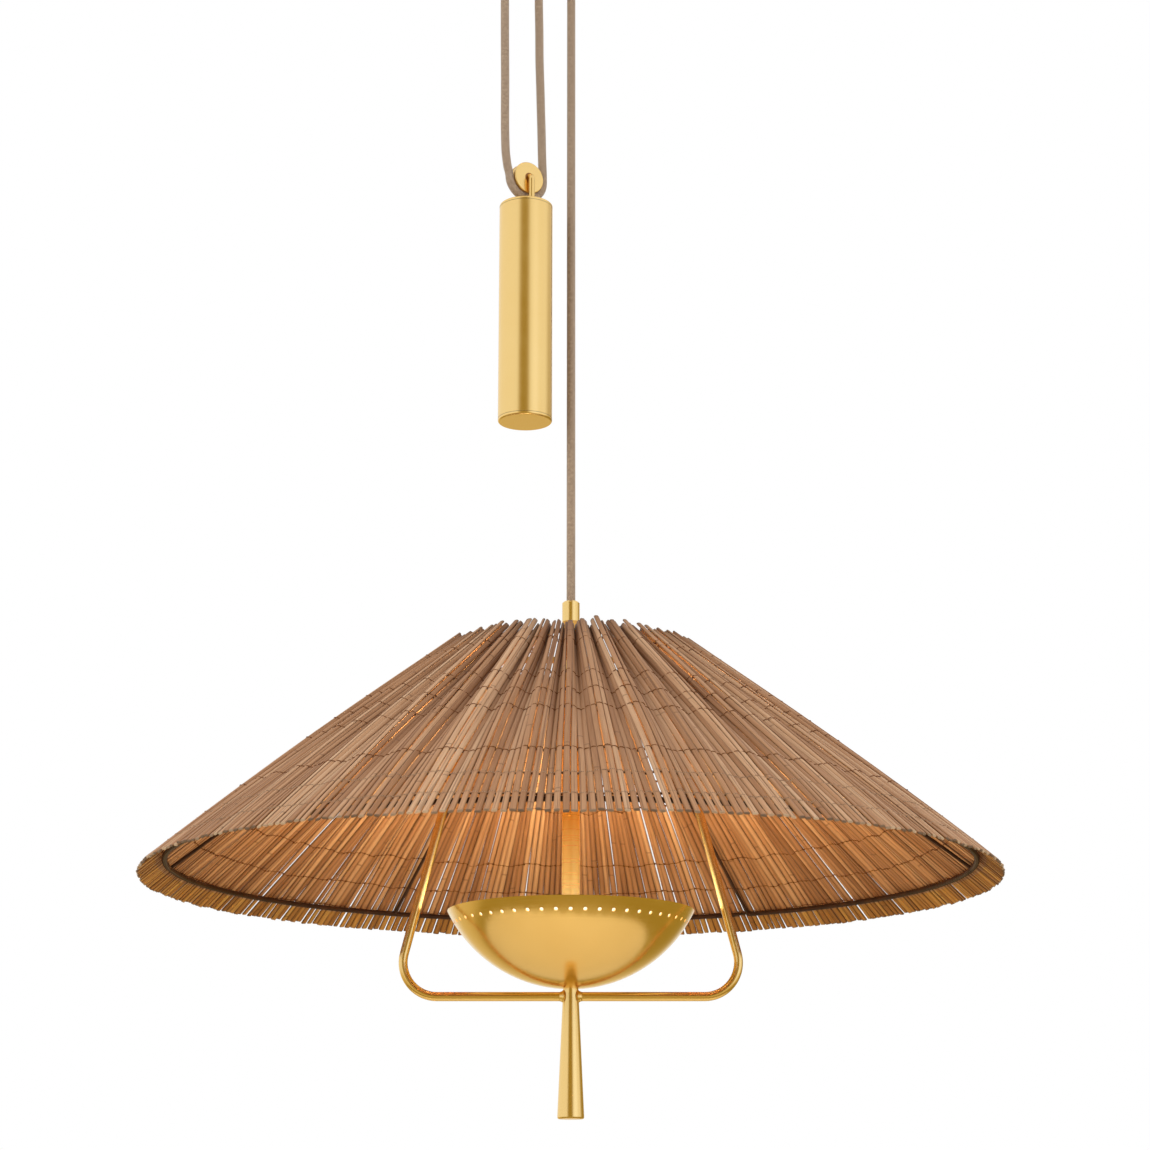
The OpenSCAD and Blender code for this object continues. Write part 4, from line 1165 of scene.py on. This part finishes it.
BULB_TURNS = [math.radians(45 + 90 * k) for k in range(4)]
LEAD_PATH = [(7.0, 20), (11, 18.5), (18, 10), (27.2, 6)]
plate_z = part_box("lamp_plate")[1][2] / MM
leads = Build()
for a in BULB_TURNS:
    arm = Vector((math.cos(a), math.sin(a), 0))
    beside = Vector((-math.sin(a), math.cos(a), 0))
    points = [LAMP + arm * (r * MM) + UP * ((plate_z + h) * MM) for r, h in LEAD_PATH]
    tube(leads, smooth_line(points, LEAD_STEPS), LEAD_R * MM, LEAD_SIDES, beside)
leads.piece("holder_leads", insulation_brown, "lamp", "terminal_plastic")

# %% [markdown]
# The floor is one pale, matt, oval sheet far below the lamp. It takes the soft shadow,
# and the underside of the bowl mirrors it as a warm patch. An endless plane would fill
# the whole underside with one tone. The oval's edge gives the bowl its bright lower
# part and its darker flanks.

# %% Floor
FLOOR_WIDE, FLOOR_DEEP = 1.62, 1.35
FLOOR_X, FLOOR_Y, FLOOR_Z = -0.16, 0.52, -2.35
pale_floor = Look("pale_floor", Roughness=0.8)
pale_floor.two_tones(pale_floor.noise(pale_floor.place(), 2.0), tint(236, 217, 178), tint(241, 223, 186))
arms = [(FLOOR_WIDE * math.cos(t), FLOOR_DEEP * math.sin(t)) for t in circle(64)]
edge = [(FLOOR_X + x, FLOOR_Y + y, FLOOR_Z) for x, y in arms]
floor_mesh = bpy.data.meshes.new("floor")
floor_mesh.from_pydata(edge, [], [tuple(range(len(edge)))])
floor_mesh.materials.append(pale_floor.material)
floor = bpy.data.objects.new("floor", floor_mesh)
bpy.context.collection.objects.link(floor)
print("floor", FLOOR_WIDE * 2, "by", FLOOR_DEEP * 2, "m")

# %% [markdown]
# Brass is a mirror, and most of its look is the room that it stands in. Walls and
# windows could be modelled, but they would get between the camera and the lamp in other
# views. So the world plays the room. The camera, and rays through glass, see plain
# white. Matt surfaces get an even grey light. Mirrors see a warm room in level bands:
# tan straight below, then dim, then gold just under eye level, and pale from there up.
# One bright patch, like a window, is at the front right, and two dim ones are in front
# and at the rear right. The patches give the weight, the handle and the bowl their soft
# upright bands.

# %% Room for the mirrors
BRIGHT, MIDDLE, DIM = (0.93, 0.92, 0.90, 1), (0.74, 0.60, 0.30, 1), (0.36, 0.26, 0.05, 1)
LOWEST, LOW = (0.66, 0.51, 0.23, 1), (0.62, 0.48, 0.20, 1)
WINDOW, MATT, WHITE = (1.08, 1.14, 1.3, 1), (0.42, 0.42, 0.42, 1), (1, 1, 1, 1)
BANDS = [(0.0, LOWEST), (0.15, DIM), (0.25, DIM), (0.285, LOW), (0.40, MIDDLE), (0.47, BRIGHT)]
PATCHES = [
    ((0.77, 0.60, -0.2), 0.70, 0.95, DIM),
    ((0.70, -0.71, 0.05), 0.90, 0.99, WINDOW),
    ((-0.07, -0.98, 0.18), 0.87, 0.97, DIM),
]
world = bpy.data.worlds.new("surround")
bpy.context.scene.world = world
world.use_nodes = True
room = Network(world.node_tree)


def patch_share(toward, direction, start, end):
    """Rises smoothly from 0 to 1 as a ray turns towards the middle of a patch."""
    dot = {"operation": "DOT_PRODUCT"}
    facing = room.node("ShaderNodeVectorMath", dot, {0: toward, 1: direction}, "Value")
    limits = {"Value": facing, "From Min": start, "From Max": end}
    return room.node("ShaderNodeMapRange", {"interpolation_type": "SMOOTHSTEP"}, limits)


def ray(kind):
    """1 for a ray of that kind, and 0 for any other."""
    return room.node("ShaderNodeLightPath", {}, {}, "Is %s Ray" % kind)


toward = room.node("ShaderNodeTexCoord", {}, {}, "Generated")
mirrored = room.ramp(room.parts(toward)[2] * 0.5 + 0.5, *BANDS)
for direction, start, end, colour in PATCHES:
    mirrored = room.mix(patch_share(toward, direction, start, end), mirrored, colour)
lit = room.mix(ray("Glossy"), MATT, mirrored)
shown = room.mix((ray("Camera") + ray("Transmission")).clamp(), lit, WHITE)
room.tree.links.new(shown.socket, room.tree.nodes["Background"].inputs["Color"])
print("room of", len(BANDS), "stops and", len(PATCHES), "patches")

# %% [markdown]
# Soft light comes from three large panels, at the left, at the right and behind, and a
# small one that washes the floor. One sun would be simpler, but its hard shadows
# would draw every stick twice. Mirrors don't see the panels, because the brass should
# show nothing but the room that the world plays.


# %% Panels of light
def add_light(name, kind, place, watts, colour):
    data = bpy.data.lights.new(name, kind)
    data.energy = watts
    data.color = colour
    obj = bpy.data.objects.new(name, data)
    obj.location = place
    obj.visible_glossy = False
    bpy.context.collection.objects.link(obj)
    return obj


def panel(name, place, aim, size, watts):
    """A square panel that faces a point."""
    obj = add_light(name, "AREA", place, watts, (1, 1, 1))
    obj.data.size = size
    obj.rotation_euler = (Vector(aim) - Vector(place)).to_track_quat("-Z", "Y").to_euler()


panel("key_panel", (-2.6, -1.7, 0.3), (0, 0, -0.7), 3.6, 84)
panel("fill_panel", (2.7, -1.4, 0.0), (0, 0, -0.8), 3.4, 66)
panel("back_panel", (0.6, 2.6, 0.8), (0, 0, -0.7), 2.4, 24)
panel("floor_wash", (0.1, -1.9, -1.7), (0.05, -0.2, -2.35), 0.5, 7)
print("four panels of light")

# %% [markdown]
# The lamp's own light colours the inside of the mat. The glowing finishes would light
# it by themselves, but small bright surfaces make a grainy picture. A point light over
# each bulb and a disc over the bowl do it cleanly. They ride on the lamp, or they would
# stay behind in the air when it is pulled down.

# %% Light in the bowl
WARM = (1.0, 0.88, 0.68)
BULB_OUT, BULB_Z, BULB_WATTS, BULB_R = 0.036, -0.958, 0.47, 0.012
DISC_WIDE, DISC_Z, DISC_WATTS = 0.12, -0.94, 1.8
for k, a in enumerate(BULB_TURNS):
    place = (LAMP.x + BULB_OUT * math.cos(a), LAMP.y + BULB_OUT * math.sin(a), BULB_Z)
    spot = add_light("bulb_light_%d" % k, "POINT", place, BULB_WATTS, WARM)
    spot.data.shadow_soft_size = BULB_R
    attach(spot, "lamp")
glow = add_light("bowl_glow", "AREA", (LAMP.x, LAMP.y, DISC_Z), DISC_WATTS, WARM)
glow.data.shape = "DISK"
glow.data.size = DISC_WIDE
glow.rotation_euler = (math.pi, 0, 0)
glow.visible_camera = False
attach(glow, "lamp")
print("lamp's own light", round(len(BULB_TURNS) * BULB_WATTS + DISC_WATTS, 2), "W")

# %% [markdown]
# The picture's tones are shown as they are worked out, with no film curve, so that a
# colour renders about as it is written.

# %% Tone of the picture
bpy.context.scene.view_settings.view_transform = "Standard"
